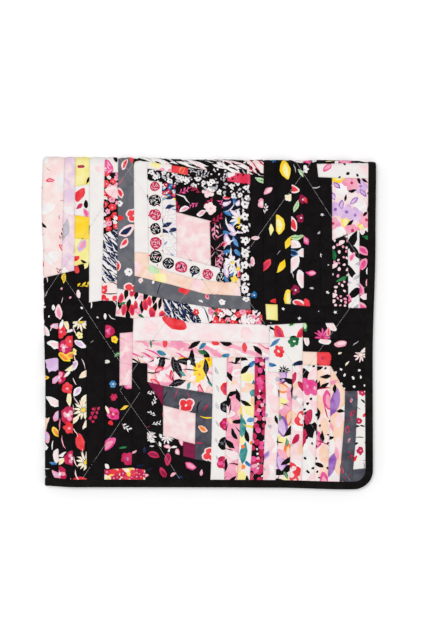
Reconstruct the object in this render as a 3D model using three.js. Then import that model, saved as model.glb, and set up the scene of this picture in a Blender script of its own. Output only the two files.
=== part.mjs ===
// A quilted patchwork throw with a bound edge, folded in half twice and laid flat.
// The solids are made as the real throw is: a flat quilted panel and the binding that wraps its
// edge are drawn laid out flat, and one fold function then carries every point of both to its
// place in the folded stack. Units are millimetres and +Z is up. The origin is under the middle
// of the stack, on the surface that it lies on.

import * as THREE from 'three';

// The cut: the throw laid out flat, measured over its binding.
const CUT_WIDTH = 1270;
const CUT_LENGTH = 1270;
const CORNER_RADIUS = 36;

// The quilted cloth and its binding.
const CLOTH_THICKNESS = 5;
const LAYER_GAP = 2;
const BINDING_WIDTH = 15;
const BINDING_WALL = 0.7;
const BINDING_EDGE_ROUND = 0.9;
const BINDING_LIP_ROUND = { inset: 1, w: 0.2 };
const SEWN_GAP = 0.3;
const LIP_GAP = 0.6;
const PUFF_UP = 15;

// The quilting: rows of overlapping stitched diamonds, with their middles this far apart.
const DIAMOND_PITCH = { across: 330, down: 450 };
const DIAMOND_HALF = { across: 180, down: 270 };
const QUILTING_DEPTH = 2.0;
const QUILTING_REACH = 15;

// The grid that the cloth's faces are drawn on. One diamond is a whole number of steps.
const FINE_STEP = { across: 30, down: 45 };
const COARSE_STEP = 120;
const BEND_STEPS = 4;

// How unevenly the stack lies: each edge's drift from a straight line, at places from 0 to 1
// along that edge, how much thicker the stack is where it is folded, and how far the lower
// layers have slipped and peek out near the left fold.
const LEFT_EDGE = [
  { at: 0.0, drift: 1.0 },
  { at: 0.13, drift: -0.6 },
  { at: 0.43, drift: 2.4 },
  { at: 0.73, drift: 6.4 },
  { at: 1.0, drift: 5.6 },
];
const RIGHT_EDGE = [
  { at: 0.0, drift: 4.6 },
  { at: 0.25, drift: 3.6 },
  { at: 0.6, drift: -1.8 },
  { at: 1.0, drift: -1.2 },
];
const TOP_EDGE = [
  { at: 0.0, drift: 3.0 },
  { at: 0.25, drift: 2.0 },
  { at: 0.45, drift: -2.6 },
  { at: 0.9, drift: -3.6 },
  { at: 1.0, drift: -6.6 },
];
const BOTTOM_EDGE = [
  { at: 0.0, drift: 4.8 },
  { at: 0.09, drift: 0.4 },
  { at: 0.5, drift: 0.0 },
  { at: 0.7, drift: -0.6 },
  { at: 0.92, drift: -4.0 },
  { at: 1.0, drift: -3.0 },
];
const FOLD_SWELL = { left: 0.1, top: 0.08, reach: 0.14 };
const BODY_WAVE = { height: 0.022, across: 7.1, down: 5.3, lean: 4.2, start: 1.3 };
const LOWER_SLIP = { x: -2.5, y: 1.8 };
const LOWER_PEEK = { y: 5, reach: 0.13 };
const INNER_SHORT = 0.004;
const OFF_CENTRE = { x: 2.0, y: -0.45 };

// Worked out from the sizes above.
const HALF_WIDTH = CUT_WIDTH / 2;
const HALF_LENGTH = CUT_LENGTH / 2;
const HALF_CLOTH = CLOTH_THICKNESS / 2;
const PAIR_RADIUS = (CLOTH_THICKNESS + LAYER_GAP) / 2;
const PAIR_MIDDLE = CLOTH_THICKNESS + LAYER_GAP;
const STACK_HALF = PAIR_MIDDLE + PAIR_RADIUS + HALF_CLOTH;
const STACK_RADIUS = PAIR_MIDDLE + PAIR_RADIUS;
const PAIR_BEND = (Math.PI / 2) * PAIR_RADIUS;
const STACK_BEND = (Math.PI / 2) * STACK_RADIUS;
const FOLDED_WIDTH = HALF_WIDTH - PAIR_BEND + PAIR_RADIUS + HALF_CLOTH;
const FOLDED_LENGTH = HALF_LENGTH - STACK_BEND + STACK_HALF;
const SLOT_HALF = HALF_CLOTH - BINDING_WALL;
const SEWN_HALF = SLOT_HALF - SEWN_GAP;
const CLOTH_EDGE = BINDING_EDGE_ROUND + SEWN_GAP;
const LIP = BINDING_WIDTH + LIP_GAP;
const RIM_INSETS = [CORNER_RADIUS, 25, LIP, 8, CLOTH_EDGE];

// A smooth step from 0 to 1.
function ease(t) {
  const clamped = Math.min(1, Math.max(0, t));
  return clamped * clamped * (3 - 2 * clamped);
}

// The drift of an edge at a place along it, read smoothly from its table.
function drift(table, at) {
  const last = table.length - 1;
  if (at <= table[0].at) return table[0].drift;
  if (at >= table[last].at) return table[last].drift;
  const next = table.findIndex((row) => row.at > at);
  const from = table[next - 1];
  const to = table[next];
  return from.drift + (to.drift - from.drift) * ease((at - from.at) / (to.at - from.at));
}

// The first fold, down the middle of the throw. It gives the distance from the folded edge's
// centre, and the height over the middle of the stack.
function foldAcross(u, w) {
  const reach = Math.abs(u) * (u < 0 ? 1 - INNER_SHORT : 1);
  if (reach >= PAIR_BEND) {
    return { x: reach - PAIR_BEND, n: PAIR_MIDDLE + Math.sign(u) * (PAIR_RADIUS + w) };
  }
  const angle = (Math.sign(u) * reach) / PAIR_RADIUS;
  return {
    x: -(PAIR_RADIUS + w) * Math.cos(angle),
    n: PAIR_MIDDLE + (PAIR_RADIUS + w) * Math.sin(angle),
  };
}

// The second fold, across the doubled throw. Down is positive, and the half with v below 0
// goes under.
function foldDown(v, n) {
  if (Math.abs(v) >= STACK_BEND) {
    return { y: STACK_BEND - Math.abs(v), z: STACK_HALF + Math.sign(v) * n };
  }
  const angle = v / STACK_RADIUS;
  return { y: n * Math.cos(angle), z: STACK_HALF + n * Math.sin(angle) };
}

// Where a point of the flat throw goes in the folded stack: u across and v down from the
// throw's middle, and w over the middle of its thickness, towards the patchwork.
function foldedPoint(u, v, w) {
  const across = foldAcross(u, w);
  const down = foldDown(v, across.n);
  const under = v < 0 ? (v / HALF_LENGTH) ** 2 : 0;
  const x = across.x + PAIR_RADIUS + HALF_CLOTH + LOWER_SLIP.x * under;
  const p = x / FOLDED_WIDTH;
  const slipY = LOWER_SLIP.y - LOWER_PEEK.y * Math.exp(-((p / LOWER_PEEK.reach) ** 2));
  const y = down.y - STACK_HALF + slipY * under;
  const q = -y / FOLDED_LENGTH;
  const swell =
    1 +
    FOLD_SWELL.left * Math.exp(-((p / FOLD_SWELL.reach) ** 2)) +
    FOLD_SWELL.top * Math.exp(-((q / FOLD_SWELL.reach) ** 2)) +
    BODY_WAVE.height *
      Math.sin(BODY_WAVE.across * p + BODY_WAVE.start) *
      Math.cos(BODY_WAVE.down * q + BODY_WAVE.lean * p);
  const driftX = drift(LEFT_EDGE, q) * (1 - p) + drift(RIGHT_EDGE, q) * p;
  const driftY = drift(TOP_EDGE, p) * (1 - q) + drift(BOTTOM_EDGE, p) * q;
  return new THREE.Vector3(
    x - FOLDED_WIDTH / 2 + driftX - OFF_CENTRE.x,
    y + FOLDED_LENGTH / 2 + driftY - OFF_CENTRE.y,
    down.z * swell,
  );
}

// How far a point of the flat cloth is from the nearest line of quilting.
function toQuilting(u, v) {
  const rise = DIAMOND_HALF.across / Math.hypot(DIAMOND_HALF.across, DIAMOND_HALF.down);
  let nearest = Infinity;
  for (const column of [-2, -1, 0, 1, 2]) {
    for (const row of [-1, 0, 1]) {
      const across = Math.abs(u - column * DIAMOND_PITCH.across);
      const down = Math.abs(v - row * DIAMOND_PITCH.down);
      const over = down - DIAMOND_HALF.down * (1 - across / DIAMOND_HALF.across);
      const past = Math.max(0, across - DIAMOND_HALF.across);
      nearest = Math.min(nearest, Math.abs(over) * rise + past * DIAMOND_HALF.down);
    }
  }
  return nearest;
}

// Half the cloth's thickness at a place: thin where the binding holds it, and full past that.
function halfThickness(inset) {
  return SEWN_HALF + (HALF_CLOTH - SEWN_HALF) * ease((inset - LIP) / PUFF_UP);
}

// The patchwork side's height, with the quilting pressed in where the throw lies uppermost.
function faceHeight(u, v, inset) {
  const groove = Math.max(0, 1 - toQuilting(u, v) / QUILTING_REACH);
  const shown = u >= 0 && v >= 0 ? ease((inset - LIP) / PUFF_UP) : 0;
  return halfThickness(inset) - QUILTING_DEPTH * groove * shown;
}

// The lines of the grid from the middle of the throw to one edge, as flat distances.
function linesTo(half, step, bend) {
  const lines = [];
  for (let i = 1; i <= BEND_STEPS; i += 1) lines.push((bend * i) / BEND_STEPS);
  const straight = half - CORNER_RADIUS;
  for (let at = step; at < straight - step / 2; at += step) lines.push(at);
  for (const inset of RIM_INSETS) lines.push(half - inset);
  return lines;
}

function gridLines(half, step, bend) {
  const far = linesTo(half, COARSE_STEP, bend).map((at) => -at).reverse();
  return [...far, 0, ...linesTo(half, step, bend)];
}

// Carries a point of the square grid to the round corner, and gives its inset from the edge.
function roundedCorner(u, v) {
  const a = Math.abs(u) - (HALF_WIDTH - CORNER_RADIUS);
  const b = Math.abs(v) - (HALF_LENGTH - CORNER_RADIUS);
  const inset = CORNER_RADIUS - Math.max(a, b);
  if (a <= 0 || b <= 0) return { u, v, inset };
  const reach = Math.max(a, b);
  const turn = (Math.PI / 4) * (a >= b ? b / a : 2 - a / b);
  return {
    u: Math.sign(u) * (HALF_WIDTH - CORNER_RADIUS + reach * Math.cos(turn)),
    v: Math.sign(v) * (HALF_LENGTH - CORNER_RADIUS + reach * Math.sin(turn)),
    inset,
  };
}

function meshOf(name, points, triangles, material) {
  const geometry = new THREE.BufferGeometry();
  const positions = points.flatMap((p) => [p.x, p.y, p.z]);
  geometry.setAttribute('position', new THREE.Float32BufferAttribute(positions, 3));
  geometry.setIndex(triangles.flat());
  geometry.computeVertexNormals();
  const mesh = new THREE.Mesh(geometry, material);
  mesh.name = name;
  return mesh;
}

// The quilted panel: the patchwork side, the back, and the narrow rim that joins them.
function quiltedPanel(material) {
  const across = gridLines(HALF_WIDTH, FINE_STEP.across, PAIR_BEND);
  const down = gridLines(HALF_LENGTH, FINE_STEP.down, STACK_BEND);
  const points = [];
  const triangles = [];

  const place = (u, v, side) => {
    const flat = roundedCorner(u, v);
    const w = side > 0 ? faceHeight(flat.u, flat.v, flat.inset) : -halfThickness(flat.inset);
    points.push(foldedPoint(flat.u, flat.v, w));
    return points.length - 1;
  };
  const face = across.map((u) => down.map((v) => place(u, v, 1)));
  const back = across.map((u) => down.map((v) => place(u, v, -1)));

  for (let i = 0; i + 1 < across.length; i += 1) {
    for (let j = 0; j + 1 < down.length; j += 1) {
      const [a, b, c, d] = [face[i][j], face[i + 1][j], face[i + 1][j + 1], face[i][j + 1]];
      if (across[i] >= 0 && down[j] >= 0) {
        const u = (across[i] + across[i + 1]) / 2;
        const v = (down[j] + down[j + 1]) / 2;
        const middle = place(u, v, 1);
        triangles.push([b, a, middle], [c, b, middle], [d, c, middle], [a, d, middle]);
      } else {
        triangles.push([c, b, a], [d, c, a]);
      }
      const [e, f, g, h] = [back[i][j], back[i + 1][j], back[i + 1][j + 1], back[i][j + 1]];
      triangles.push([e, f, g], [e, g, h]);
    }
  }

  const wall = (p, q, r, s) => triangles.push([p, q, r], [p, r, s]);
  const endU = across.length - 1;
  const endV = down.length - 1;
  for (let i = 0; i < endU; i += 1) {
    wall(face[i][0], face[i + 1][0], back[i + 1][0], back[i][0]);
    wall(face[i + 1][endV], face[i][endV], back[i][endV], back[i + 1][endV]);
  }
  for (let j = 0; j < endV; j += 1) {
    wall(face[0][j + 1], face[0][j], back[0][j], back[0][j + 1]);
    wall(face[endU][j], face[endU][j + 1], back[endU][j + 1], back[endU][j]);
  }
  return meshOf('quilted_panel', points, triangles, material);
}

// The binding's section: a strip folded over the edge, with the cloth's edge held in its slot.
// Inset is measured in from the throw's edge, and w is the height over the cloth's middle.
function bindingSection() {
  const round = BINDING_EDGE_ROUND;
  const lip = BINDING_LIP_ROUND;
  return [
    { inset: BINDING_WIDTH, w: HALF_CLOTH - lip.w },
    { inset: BINDING_WIDTH - lip.inset, w: HALF_CLOTH },
    { inset: 2 * round, w: HALF_CLOTH },
    { inset: 0, w: HALF_CLOTH / 2 },
    { inset: 0, w: -HALF_CLOTH / 2 },
    { inset: 2 * round, w: -HALF_CLOTH },
    { inset: BINDING_WIDTH - lip.inset, w: -HALF_CLOTH },
    { inset: BINDING_WIDTH, w: lip.w - HALF_CLOTH },
    { inset: BINDING_WIDTH, w: -SLOT_HALF },
    { inset: round, w: -SLOT_HALF },
    { inset: round, w: SLOT_HALF },
    { inset: BINDING_WIDTH, w: SLOT_HALF },
  ];
}

// The places round the edge where the section is set: each gives the flat point at an inset.
function bindingStations() {
  const across = gridLines(HALF_WIDTH, FINE_STEP.across, PAIR_BEND);
  const down = gridLines(HALF_LENGTH, FINE_STEP.down, STACK_BEND);
  const straightU = across.filter((u) => Math.abs(u) < HALF_WIDTH - CORNER_RADIUS - 1);
  const straightV = down.filter((v) => Math.abs(v) < HALF_LENGTH - CORNER_RADIUS - 1);
  const shares = RIM_INSETS.map((inset) => (CORNER_RADIUS - inset) / (CORNER_RADIUS - CLOTH_EDGE));
  const beyond = shares.slice(0, -1).reverse().map((share) => 2 - share);
  const turns = [...shares, ...beyond].map((share) => (share * Math.PI) / 4);
  const stations = [];

  const corner = (signU, signV, angles) => {
    for (const angle of angles) {
      stations.push((inset) => ({
        u: signU * (HALF_WIDTH - CORNER_RADIUS + (CORNER_RADIUS - inset) * Math.cos(angle)),
        v: signV * (HALF_LENGTH - CORNER_RADIUS + (CORNER_RADIUS - inset) * Math.sin(angle)),
      }));
    }
  };
  const back = [...turns].reverse();
  straightV.forEach((v) => stations.push((inset) => ({ u: HALF_WIDTH - inset, v })));
  corner(1, 1, turns);
  [...straightU].reverse().forEach((u) => stations.push((inset) => ({ u, v: HALF_LENGTH - inset })));
  corner(-1, 1, back);
  [...straightV].reverse().forEach((v) => stations.push((inset) => ({ u: inset - HALF_WIDTH, v })));
  corner(-1, -1, turns);
  straightU.forEach((u) => stations.push((inset) => ({ u, v: inset - HALF_LENGTH })));
  corner(1, -1, back);
  return stations;
}

// The binding: one strip sewn right round the throw, closed on itself.
function binding(material) {
  const section = bindingSection();
  const stations = bindingStations();
  const points = [];
  const triangles = [];
  for (const station of stations) {
    for (const { inset, w } of section) {
      const flat = station(inset);
      points.push(foldedPoint(flat.u, flat.v, w));
    }
  }
  const sides = section.length;
  for (let i = 0; i < stations.length; i += 1) {
    const here = i * sides;
    const next = ((i + 1) % stations.length) * sides;
    for (let k = 0; k < sides; k += 1) {
      const over = (k + 1) % sides;
      triangles.push([here + k, next + k, next + over], [here + k, next + over, here + over]);
    }
  }
  return meshOf('binding', points, triangles, material);
}

const printedCotton = new THREE.MeshStandardMaterial({ color: 0x4a3a3c, roughness: 0.85, metalness: 0 });
const blackCotton = new THREE.MeshStandardMaterial({ color: 0x1d1a17, roughness: 0.8, metalness: 0 });

const throwFolded = new THREE.Group();
throwFolded.add(quiltedPanel(printedCotton), binding(blackCotton));

export default throwFolded;
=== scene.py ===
import math
import random
from itertools import product

import bpy
import numpy as np
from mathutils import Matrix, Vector, noise
from mathutils.geometry import delaunay_2d_cdt
from mathutils.kdtree import KDTree


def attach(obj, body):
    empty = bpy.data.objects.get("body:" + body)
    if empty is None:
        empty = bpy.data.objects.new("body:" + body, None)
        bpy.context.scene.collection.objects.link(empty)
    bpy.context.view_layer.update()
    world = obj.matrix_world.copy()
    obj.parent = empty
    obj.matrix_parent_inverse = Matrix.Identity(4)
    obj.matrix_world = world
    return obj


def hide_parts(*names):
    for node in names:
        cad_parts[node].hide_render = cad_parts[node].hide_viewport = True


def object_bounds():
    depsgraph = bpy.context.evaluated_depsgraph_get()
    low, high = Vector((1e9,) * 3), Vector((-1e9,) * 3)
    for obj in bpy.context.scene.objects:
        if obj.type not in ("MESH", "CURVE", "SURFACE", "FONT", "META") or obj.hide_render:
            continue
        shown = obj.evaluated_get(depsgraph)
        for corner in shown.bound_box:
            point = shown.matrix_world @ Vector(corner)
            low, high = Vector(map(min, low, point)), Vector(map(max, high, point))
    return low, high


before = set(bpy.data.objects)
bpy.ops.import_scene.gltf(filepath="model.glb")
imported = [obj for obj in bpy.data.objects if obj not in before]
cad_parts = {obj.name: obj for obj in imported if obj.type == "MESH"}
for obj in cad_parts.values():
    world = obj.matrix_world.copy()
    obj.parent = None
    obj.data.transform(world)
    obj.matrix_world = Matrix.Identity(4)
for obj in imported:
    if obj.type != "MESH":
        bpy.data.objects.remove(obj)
cad_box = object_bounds()


# The quilted throw is folded in half from side to side and again from end to end, and lies
# flat. A place on the flat throw is u across and v down from its middle, and w is the height
# over the middle of its cloth, all in millimetres.
CUT = 1270.0
CORNER_RADIUS = 36.0
CLOTH = 5.0
LAYER_GAP = 2.0
BINDING_WIDTH = 15.0
BINDING_WALL = 0.7
SEWN_GAP = 0.3
LIP = BINDING_WIDTH + 0.6
PUFF_UP = 15.0
# How far along each edge of the stack, from 0 to 1, and how far it drifts from a straight line.
LEFT_EDGE = [(0.0, 1.0), (0.13, -0.6), (0.43, 2.4), (0.73, 6.4), (1.0, 5.6)]
RIGHT_EDGE = [(0.0, 4.6), (0.25, 3.6), (0.6, -1.8), (1.0, -1.2)]
TOP_EDGE = [(0.0, 3.0), (0.25, 2.0), (0.45, -2.6), (0.9, -3.6), (1.0, -6.6)]
BOTTOM_EDGE = [(0.0, 4.8), (0.09, 0.4), (0.5, 0.0), (0.7, -0.6), (0.92, -4.0), (1.0, -3.0)]
# The stack is thicker at its folds and ripples softly. Its lower layers slip and peek out.
SWELL_LEFT, SWELL_TOP, SWELL_REACH = 0.1, 0.08, 0.14
RIPPLE, RIPPLE_ACROSS, RIPPLE_START, RIPPLE_DOWN, RIPPLE_SLANT = 0.022, 7.1, 1.3, 5.3, 4.2
SLIP_X, SLIP_Y, PEEK_Y, PEEK_REACH = -2.5, 1.8, 5.0, 0.13
INNER_SHORT = 0.004
OFF_CENTRE = (2.0, -0.45)

half = CUT / 2
flat_half = half - CORNER_RADIUS
half_cloth = CLOTH / 2
pair_radius = (CLOTH + LAYER_GAP) / 2
pair_middle = CLOTH + LAYER_GAP
stack_radius = pair_middle + pair_radius
stack_half = stack_radius + half_cloth
pair_bend = math.pi / 2 * pair_radius
stack_bend = math.pi / 2 * stack_radius
folded_width = half - pair_bend + pair_radius + half_cloth
folded_length = half - stack_bend + stack_half
sewn_half = half_cloth - BINDING_WALL - SEWN_GAP


def ease(t):
    """Rises softly from 0 to 1 as t does."""
    t = np.clip(t, 0.0, 1.0)
    return t * t * (3.0 - 2.0 * t)


def drift(rows, at):
    """How far an edge of the stack has drifted, at a place along it from 0 to 1."""
    places, drifts = np.array(rows).T
    after = np.clip(np.searchsorted(places, at, side="right"), 1, len(places) - 1)
    share = ease((at - places[after - 1]) / (places[after] - places[after - 1]))
    return drifts[after - 1] + (drifts[after] - drifts[after - 1]) * share


def lay(u, v, w):
    """Carries points of the flat throw to their places in the folded stack, in metres."""
    reach = np.abs(u) * np.where(u < 0, 1 - INNER_SHORT, 1.0)
    turn = np.sign(u) * np.minimum(reach, pair_bend) / pair_radius
    bent = reach < pair_bend
    x = np.where(bent, -(pair_radius + w) * np.cos(turn), reach - pair_bend)
    rise = np.where(bent, (pair_radius + w) * np.sin(turn), np.sign(u) * (pair_radius + w))
    level = pair_middle + rise
    bent = np.abs(v) < stack_bend
    turn = np.clip(v / stack_radius, -math.pi / 2, math.pi / 2)
    y = np.where(bent, level * np.cos(turn), stack_bend - np.abs(v))
    z = stack_half + np.where(bent, level * np.sin(turn), np.sign(v) * level)
    under = np.where(v < 0, (v / half) ** 2, 0.0)
    x = x + pair_radius + half_cloth + SLIP_X * under
    across = x / folded_width
    y = y - stack_half + (SLIP_Y - PEEK_Y * np.exp(-((across / PEEK_REACH) ** 2))) * under
    down = -y / folded_length
    ripple = RIPPLE * np.sin(RIPPLE_ACROSS * across + RIPPLE_START)
    swell = (
        1
        + SWELL_LEFT * np.exp(-((across / SWELL_REACH) ** 2))
        + SWELL_TOP * np.exp(-((down / SWELL_REACH) ** 2))
        + ripple * np.cos(RIPPLE_DOWN * down + RIPPLE_SLANT * across)
    )
    x = x - folded_width / 2 - OFF_CENTRE[0]
    y = y + folded_length / 2 - OFF_CENTRE[1]
    x = x + drift(LEFT_EDGE, down) * (1 - across) + drift(RIGHT_EDGE, down) * across
    y = y + drift(TOP_EDGE, across) * (1 - down) + drift(BOTTOM_EDGE, across) * down
    return np.stack([x, y, np.maximum(z * swell, 0.0)], axis=-1) / 1000


def edge_inset(u, v):
    """How far a flat place lies inside the edge, with its rounded corners."""
    past_u = np.abs(u) - flat_half
    past_v = np.abs(v) - flat_half
    corner = np.hypot(np.maximum(past_u, 0), np.maximum(past_v, 0))
    nearer = np.where((past_u > 0) & (past_v > 0), corner, np.maximum(past_u, past_v))
    return CORNER_RADIUS - nearer


# The quilted body is the thin wadding and the plain black back, in one sheet under the
# patchwork. Rows of overlapping diamonds are run by machine through all the layers, and press
# a soft trough into the cloth.
DIAMOND_PITCH = (330.0, 450.0)
DIAMOND_HALF = (185.0, 270.0)
SWAY, SWAY_DOWN, SWAY_ACROSS = 2.0, 61.0, 97.0
TROUGH = [
    # depth, width
    (0.9, 14.0),
    (0.8, 3.2),
]


def sway(u, v):
    """How far to the left a line of quilting wanders at a flat place."""
    return SWAY * np.sin(v / SWAY_DOWN + u / SWAY_ACROSS)


def to_quilting(u, v):
    """How far a place on the flat throw is from the nearest line of quilting."""
    u = u + sway(u, v)
    rise = DIAMOND_HALF[0] / math.hypot(*DIAMOND_HALF)
    nearest = np.full(np.shape(u), 1e6)
    for column, row in product(range(-2, 3), range(-1, 2)):
        across = np.abs(u - column * DIAMOND_PITCH[0])
        down = np.abs(v - row * DIAMOND_PITCH[1])
        over = down - DIAMOND_HALF[1] * (1 - across / DIAMOND_HALF[0])
        past = np.maximum(0, across - DIAMOND_HALF[0])
        nearest = np.minimum(nearest, np.abs(over) * rise + past * DIAMOND_HALF[1])
    return nearest


def troughs(u, v):
    """How the quilting lowers the cloth at a flat place, 0 or less."""
    line = to_quilting(u, v)
    return -sum(depth * np.exp(-((line / width) ** 2)) for depth, width in TROUGH)


def half_thickness(inset):
    """Half the cloth's thickness, which thins out where the binding is sewn over it."""
    return sewn_half + (half_cloth - sewn_half) * ease((inset - LIP) / PUFF_UP)


SUNK_AT_BINDING, SUNK_INSIDE = 0.5, 1.3


def backing_top(u, v):
    """The height of the wadding that the patchwork lies on, over the cloth's middle."""
    inset = edge_inset(u, v)
    inside = ease((inset - LIP) / PUFF_UP)
    sunk = SUNK_AT_BINDING + (SUNK_INSIDE - SUNK_AT_BINDING) * inside
    return half_thickness(inset) + troughs(u, v) * inside - sunk


def new_piece(name, points, faces, places, material):
    """A piece of the throw, with its flat places in metres as its cloth map."""
    mesh = bpy.data.meshes.new(name)
    mesh.from_pydata(np.asarray(points).tolist(), [], faces)
    mesh.shade_smooth()
    mesh.materials.append(material)
    corners = np.zeros(len(mesh.loops), np.int32)
    mesh.loops.foreach_get("vertex_index", corners)
    cloth_map = mesh.uv_layers.new(name="cloth")
    cloth_map.data.foreach_set("uv", (np.asarray(places)[corners] / 1000).ravel())
    piece = bpy.data.objects.new(name, mesh)
    bpy.context.collection.objects.link(piece)
    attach(piece, "root")
    return piece


class Wire:
    """A socket in a material: arithmetic on it adds Math nodes, node() adds any other one."""

    def __init__(self, tree, socket=None):
        self.tree, self.socket = tree, socket

    def node(self, kind, settings, inputs, output=0):
        """A node with its settings set first, then its sockets given values or wires."""
        made = self.tree.nodes.new(kind)
        for key, value in settings.items():
            if key == "stops":
                for stop, (place, grey) in zip(made.color_ramp.elements, value):
                    stop.position, stop.color = place, (grey, grey, grey, 1)
            else:
                setattr(made, key, value)
        for key, value in inputs.items():
            if isinstance(value, Wire):
                self.tree.links.new(value.socket, made.inputs[key])
            else:
                made.inputs[key].default_value = value
        return Wire(self.tree, made.outputs[output])

    def maths(self, operation, a, b):
        return self.node("ShaderNodeMath", {"operation": operation}, {0: a, 1: b})

    def __add__(self, other):
        return self.maths("ADD", self, other)

    def __sub__(self, other):
        return self.maths("SUBTRACT", self, other)

    def __rsub__(self, other):
        return self.maths("SUBTRACT", other, self)

    def __mul__(self, other):
        return self.maths("MULTIPLY", self, other)

    __radd__, __rmul__ = __add__, __mul__

    def between(self, low, high):
        """The colour low where this wire is 0, and high where it is 1."""
        settings = {"data_type": "RGBA", "clamp_factor": True}
        return self.node("ShaderNodeMix", settings, {0: self, 6: low, 7: high}, 2)

    def to(self, shader, name):
        self.tree.links.new(self.socket, shader.inputs[name])


def shade(code):
    """A colour from its six hex digits, as Blender's linear values."""
    parts = [int(code[i : i + 2], 16) / 255 for i in (0, 2, 4)]
    linear = [c / 12.92 if c <= 0.04045 else ((c + 0.055) / 1.055) ** 2.4 for c in parts]
    return (*linear, 1.0)


THREADS_ACROSS, SLUBS_ALONG, THREAD_RELIEF = 1400.0, 160.0, 0.0004
CLOUD_STOPS = [(0.38, 0.0), (0.62, 1.0)]
CLOUD_SHARE, PALER, LIFTED = 0.5, 1.7, 0.004
SLUB_SHOWS = 0.1
ROUGHNESS, SLUB_ROUGHNESS, SHEEN, GLOSS = 0.75, 0.2, 0.02, 0.06


def cotton(name, ink=None, cloud=30.0, weave=0.25):
    """Woven cotton in the colour ink, or in the print that the mesh carries where ink is None."""
    material = bpy.data.materials.new(name)
    material.use_nodes = True
    tree = material.node_tree
    shader = tree.nodes["Principled BSDF"]
    start = Wire(tree)
    place = start.node("ShaderNodeUVMap", {"uv_map": "cloth"}, {}, "UV")
    billow = {"Vector": place, "Scale": cloud, "Detail": 3.0, "Distortion": 0.5}
    clouds = start.node("ShaderNodeTexNoise", {}, billow)
    soft = clouds.node("ShaderNodeValToRGB", {"stops": CLOUD_STOPS}, {"Fac": clouds})
    threads = []
    for stretch in ((THREADS_ACROSS, SLUBS_ALONG, 1.0), (SLUBS_ALONG, THREADS_ACROSS, 1.0)):
        drawn = place.node("ShaderNodeMapping", {}, {"Vector": place, "Scale": stretch})
        grain = {"Vector": drawn, "Scale": 1.0, "Detail": 1.0}
        threads.append(drawn.node("ShaderNodeTexNoise", {}, grain))
    warp, weft = threads
    slub = (warp + weft) * 0.5
    if ink is None:
        printed = start.node("ShaderNodeAttribute", {"attribute_name": "ink"}, {}, "Color")
        wash = start.node("ShaderNodeAttribute", {"attribute_name": "wash"}, {}, "Color")
        soak = start.node("ShaderNodeAttribute", {"attribute_name": "wash"}, {}, "Alpha")
        dyed = (soak * soft).between(printed, wash)
    else:
        paler = [min(1.0, value * PALER + LIFTED) for value in shade(ink)[:3]]
        dyed = (soft * CLOUD_SHARE).between(shade(ink), (*paler, 1.0))
    dyed = ((slub - 0.5) * (SLUB_SHOWS * weave)).between(dyed, (1.0, 1.0, 1.0, 1.0))
    dyed.to(shader, "Base Color")
    (ROUGHNESS + slub * SLUB_ROUGHNESS).to(shader, "Roughness")
    relief = {"Strength": weave, "Distance": THREAD_RELIEF, "Height": slub}
    slub.node("ShaderNodeBump", {}, relief).to(shader, "Normal")
    shader.inputs["Sheen Weight"].default_value = SHEEN
    shader.inputs["Specular IOR Level"].default_value = GLOSS
    return material


BODY_STEP, BODY_COARSE = 9.0, 18.0
RIM_INSETS = (36, 31, 27, 23, 19, 15.6, 11, 6, 2.6, 1.2)


def grid_lines(bend, bend_steps, fine_to):
    """Where grid lines cross the throw: close together at the fold and at the edges."""
    lines = [bend * (i + 1) / bend_steps for i in range(bend_steps)]
    lines += list(np.arange(bend + BODY_STEP, fine_to, BODY_STEP))
    lines += list(np.arange(max(fine_to, bend + BODY_STEP), flat_half - 1, BODY_COARSE))
    lines += [half - inset for inset in RIM_INSETS]
    return np.array([-line for line in reversed(lines)] + [0.0] + lines)


def round_off(u, v):
    """Carries a point of a square grid to the throw's rounded corner."""
    past_u = np.abs(u) - flat_half
    past_v = np.abs(v) - flat_half
    cut = (past_u > 0) & (past_v > 0)
    reach = np.maximum(past_u, past_v)
    lean = np.minimum(past_u, past_v) / np.maximum(reach, 1e-9)
    turn = np.where(past_u >= past_v, lean, 2 - lean) * math.pi / 4
    return (
        np.where(cut, np.sign(u) * (flat_half + reach * np.cos(turn)), u),
        np.where(cut, np.sign(v) * (flat_half + reach * np.sin(turn)), v),
    )


across_lines = grid_lines(pair_bend, bend_steps=6, fine_to=24.0)
down_lines = grid_lines(stack_bend, bend_steps=8, fine_to=36.0)
grid = np.meshgrid(across_lines, down_lines, indexing="ij")
grid_u, grid_v = round_off(*grid)
face_w = backing_top(grid_u, grid_v)
back_w = -half_thickness(edge_inset(grid_u, grid_v))
flat_u, flat_v = grid_u.ravel(), grid_v.ravel()
flat_places = np.stack([flat_u, flat_v], axis=-1)
body_points = np.concatenate([lay(flat_u, flat_v, w.ravel()) for w in (face_w, back_w)])
rows, columns = grid_u.shape
count = rows * columns
body_faces = []
for i, j in product(range(rows - 1), range(columns - 1)):
    a, b = i * columns + j, (i + 1) * columns + j
    body_faces += [(a, a + 1, b + 1, b), (count + a, count + b, count + b + 1, count + a + 1)]
rim = [i * columns for i in range(rows)]
rim += [(rows - 1) * columns + j for j in range(1, columns)]
rim += [i * columns + columns - 1 for i in range(rows - 2, -1, -1)]
rim += list(range(columns - 2, 0, -1))
for a, b in zip(rim, rim[1:] + rim[:1]):
    body_faces.append((a, b, count + b, count + a))
back_cotton = cotton("black back cotton", ink="100d0e", cloud=18.0)
body_places = np.concatenate([flat_places, flat_places])
quilt = new_piece(
    "quilt_body", body_points, body_faces, body_places, back_cotton
)
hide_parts("quilted_panel")


# The patchwork is pieced from narrow strips of printed lawn in log-cabin blocks, and lies on
# the wadding with its seams sunk. The corners are in pixels of the photograph, and the strips
# at the top and the left run on over the folds.
PIXEL = 1.913
MIDDLE_PIXEL = (209.0, 323.0)
# Past the left and the top fold, and under the binding at the right and below.
LEFT, OVER, FAR, LOW = 35, 118, 371, 485

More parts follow.
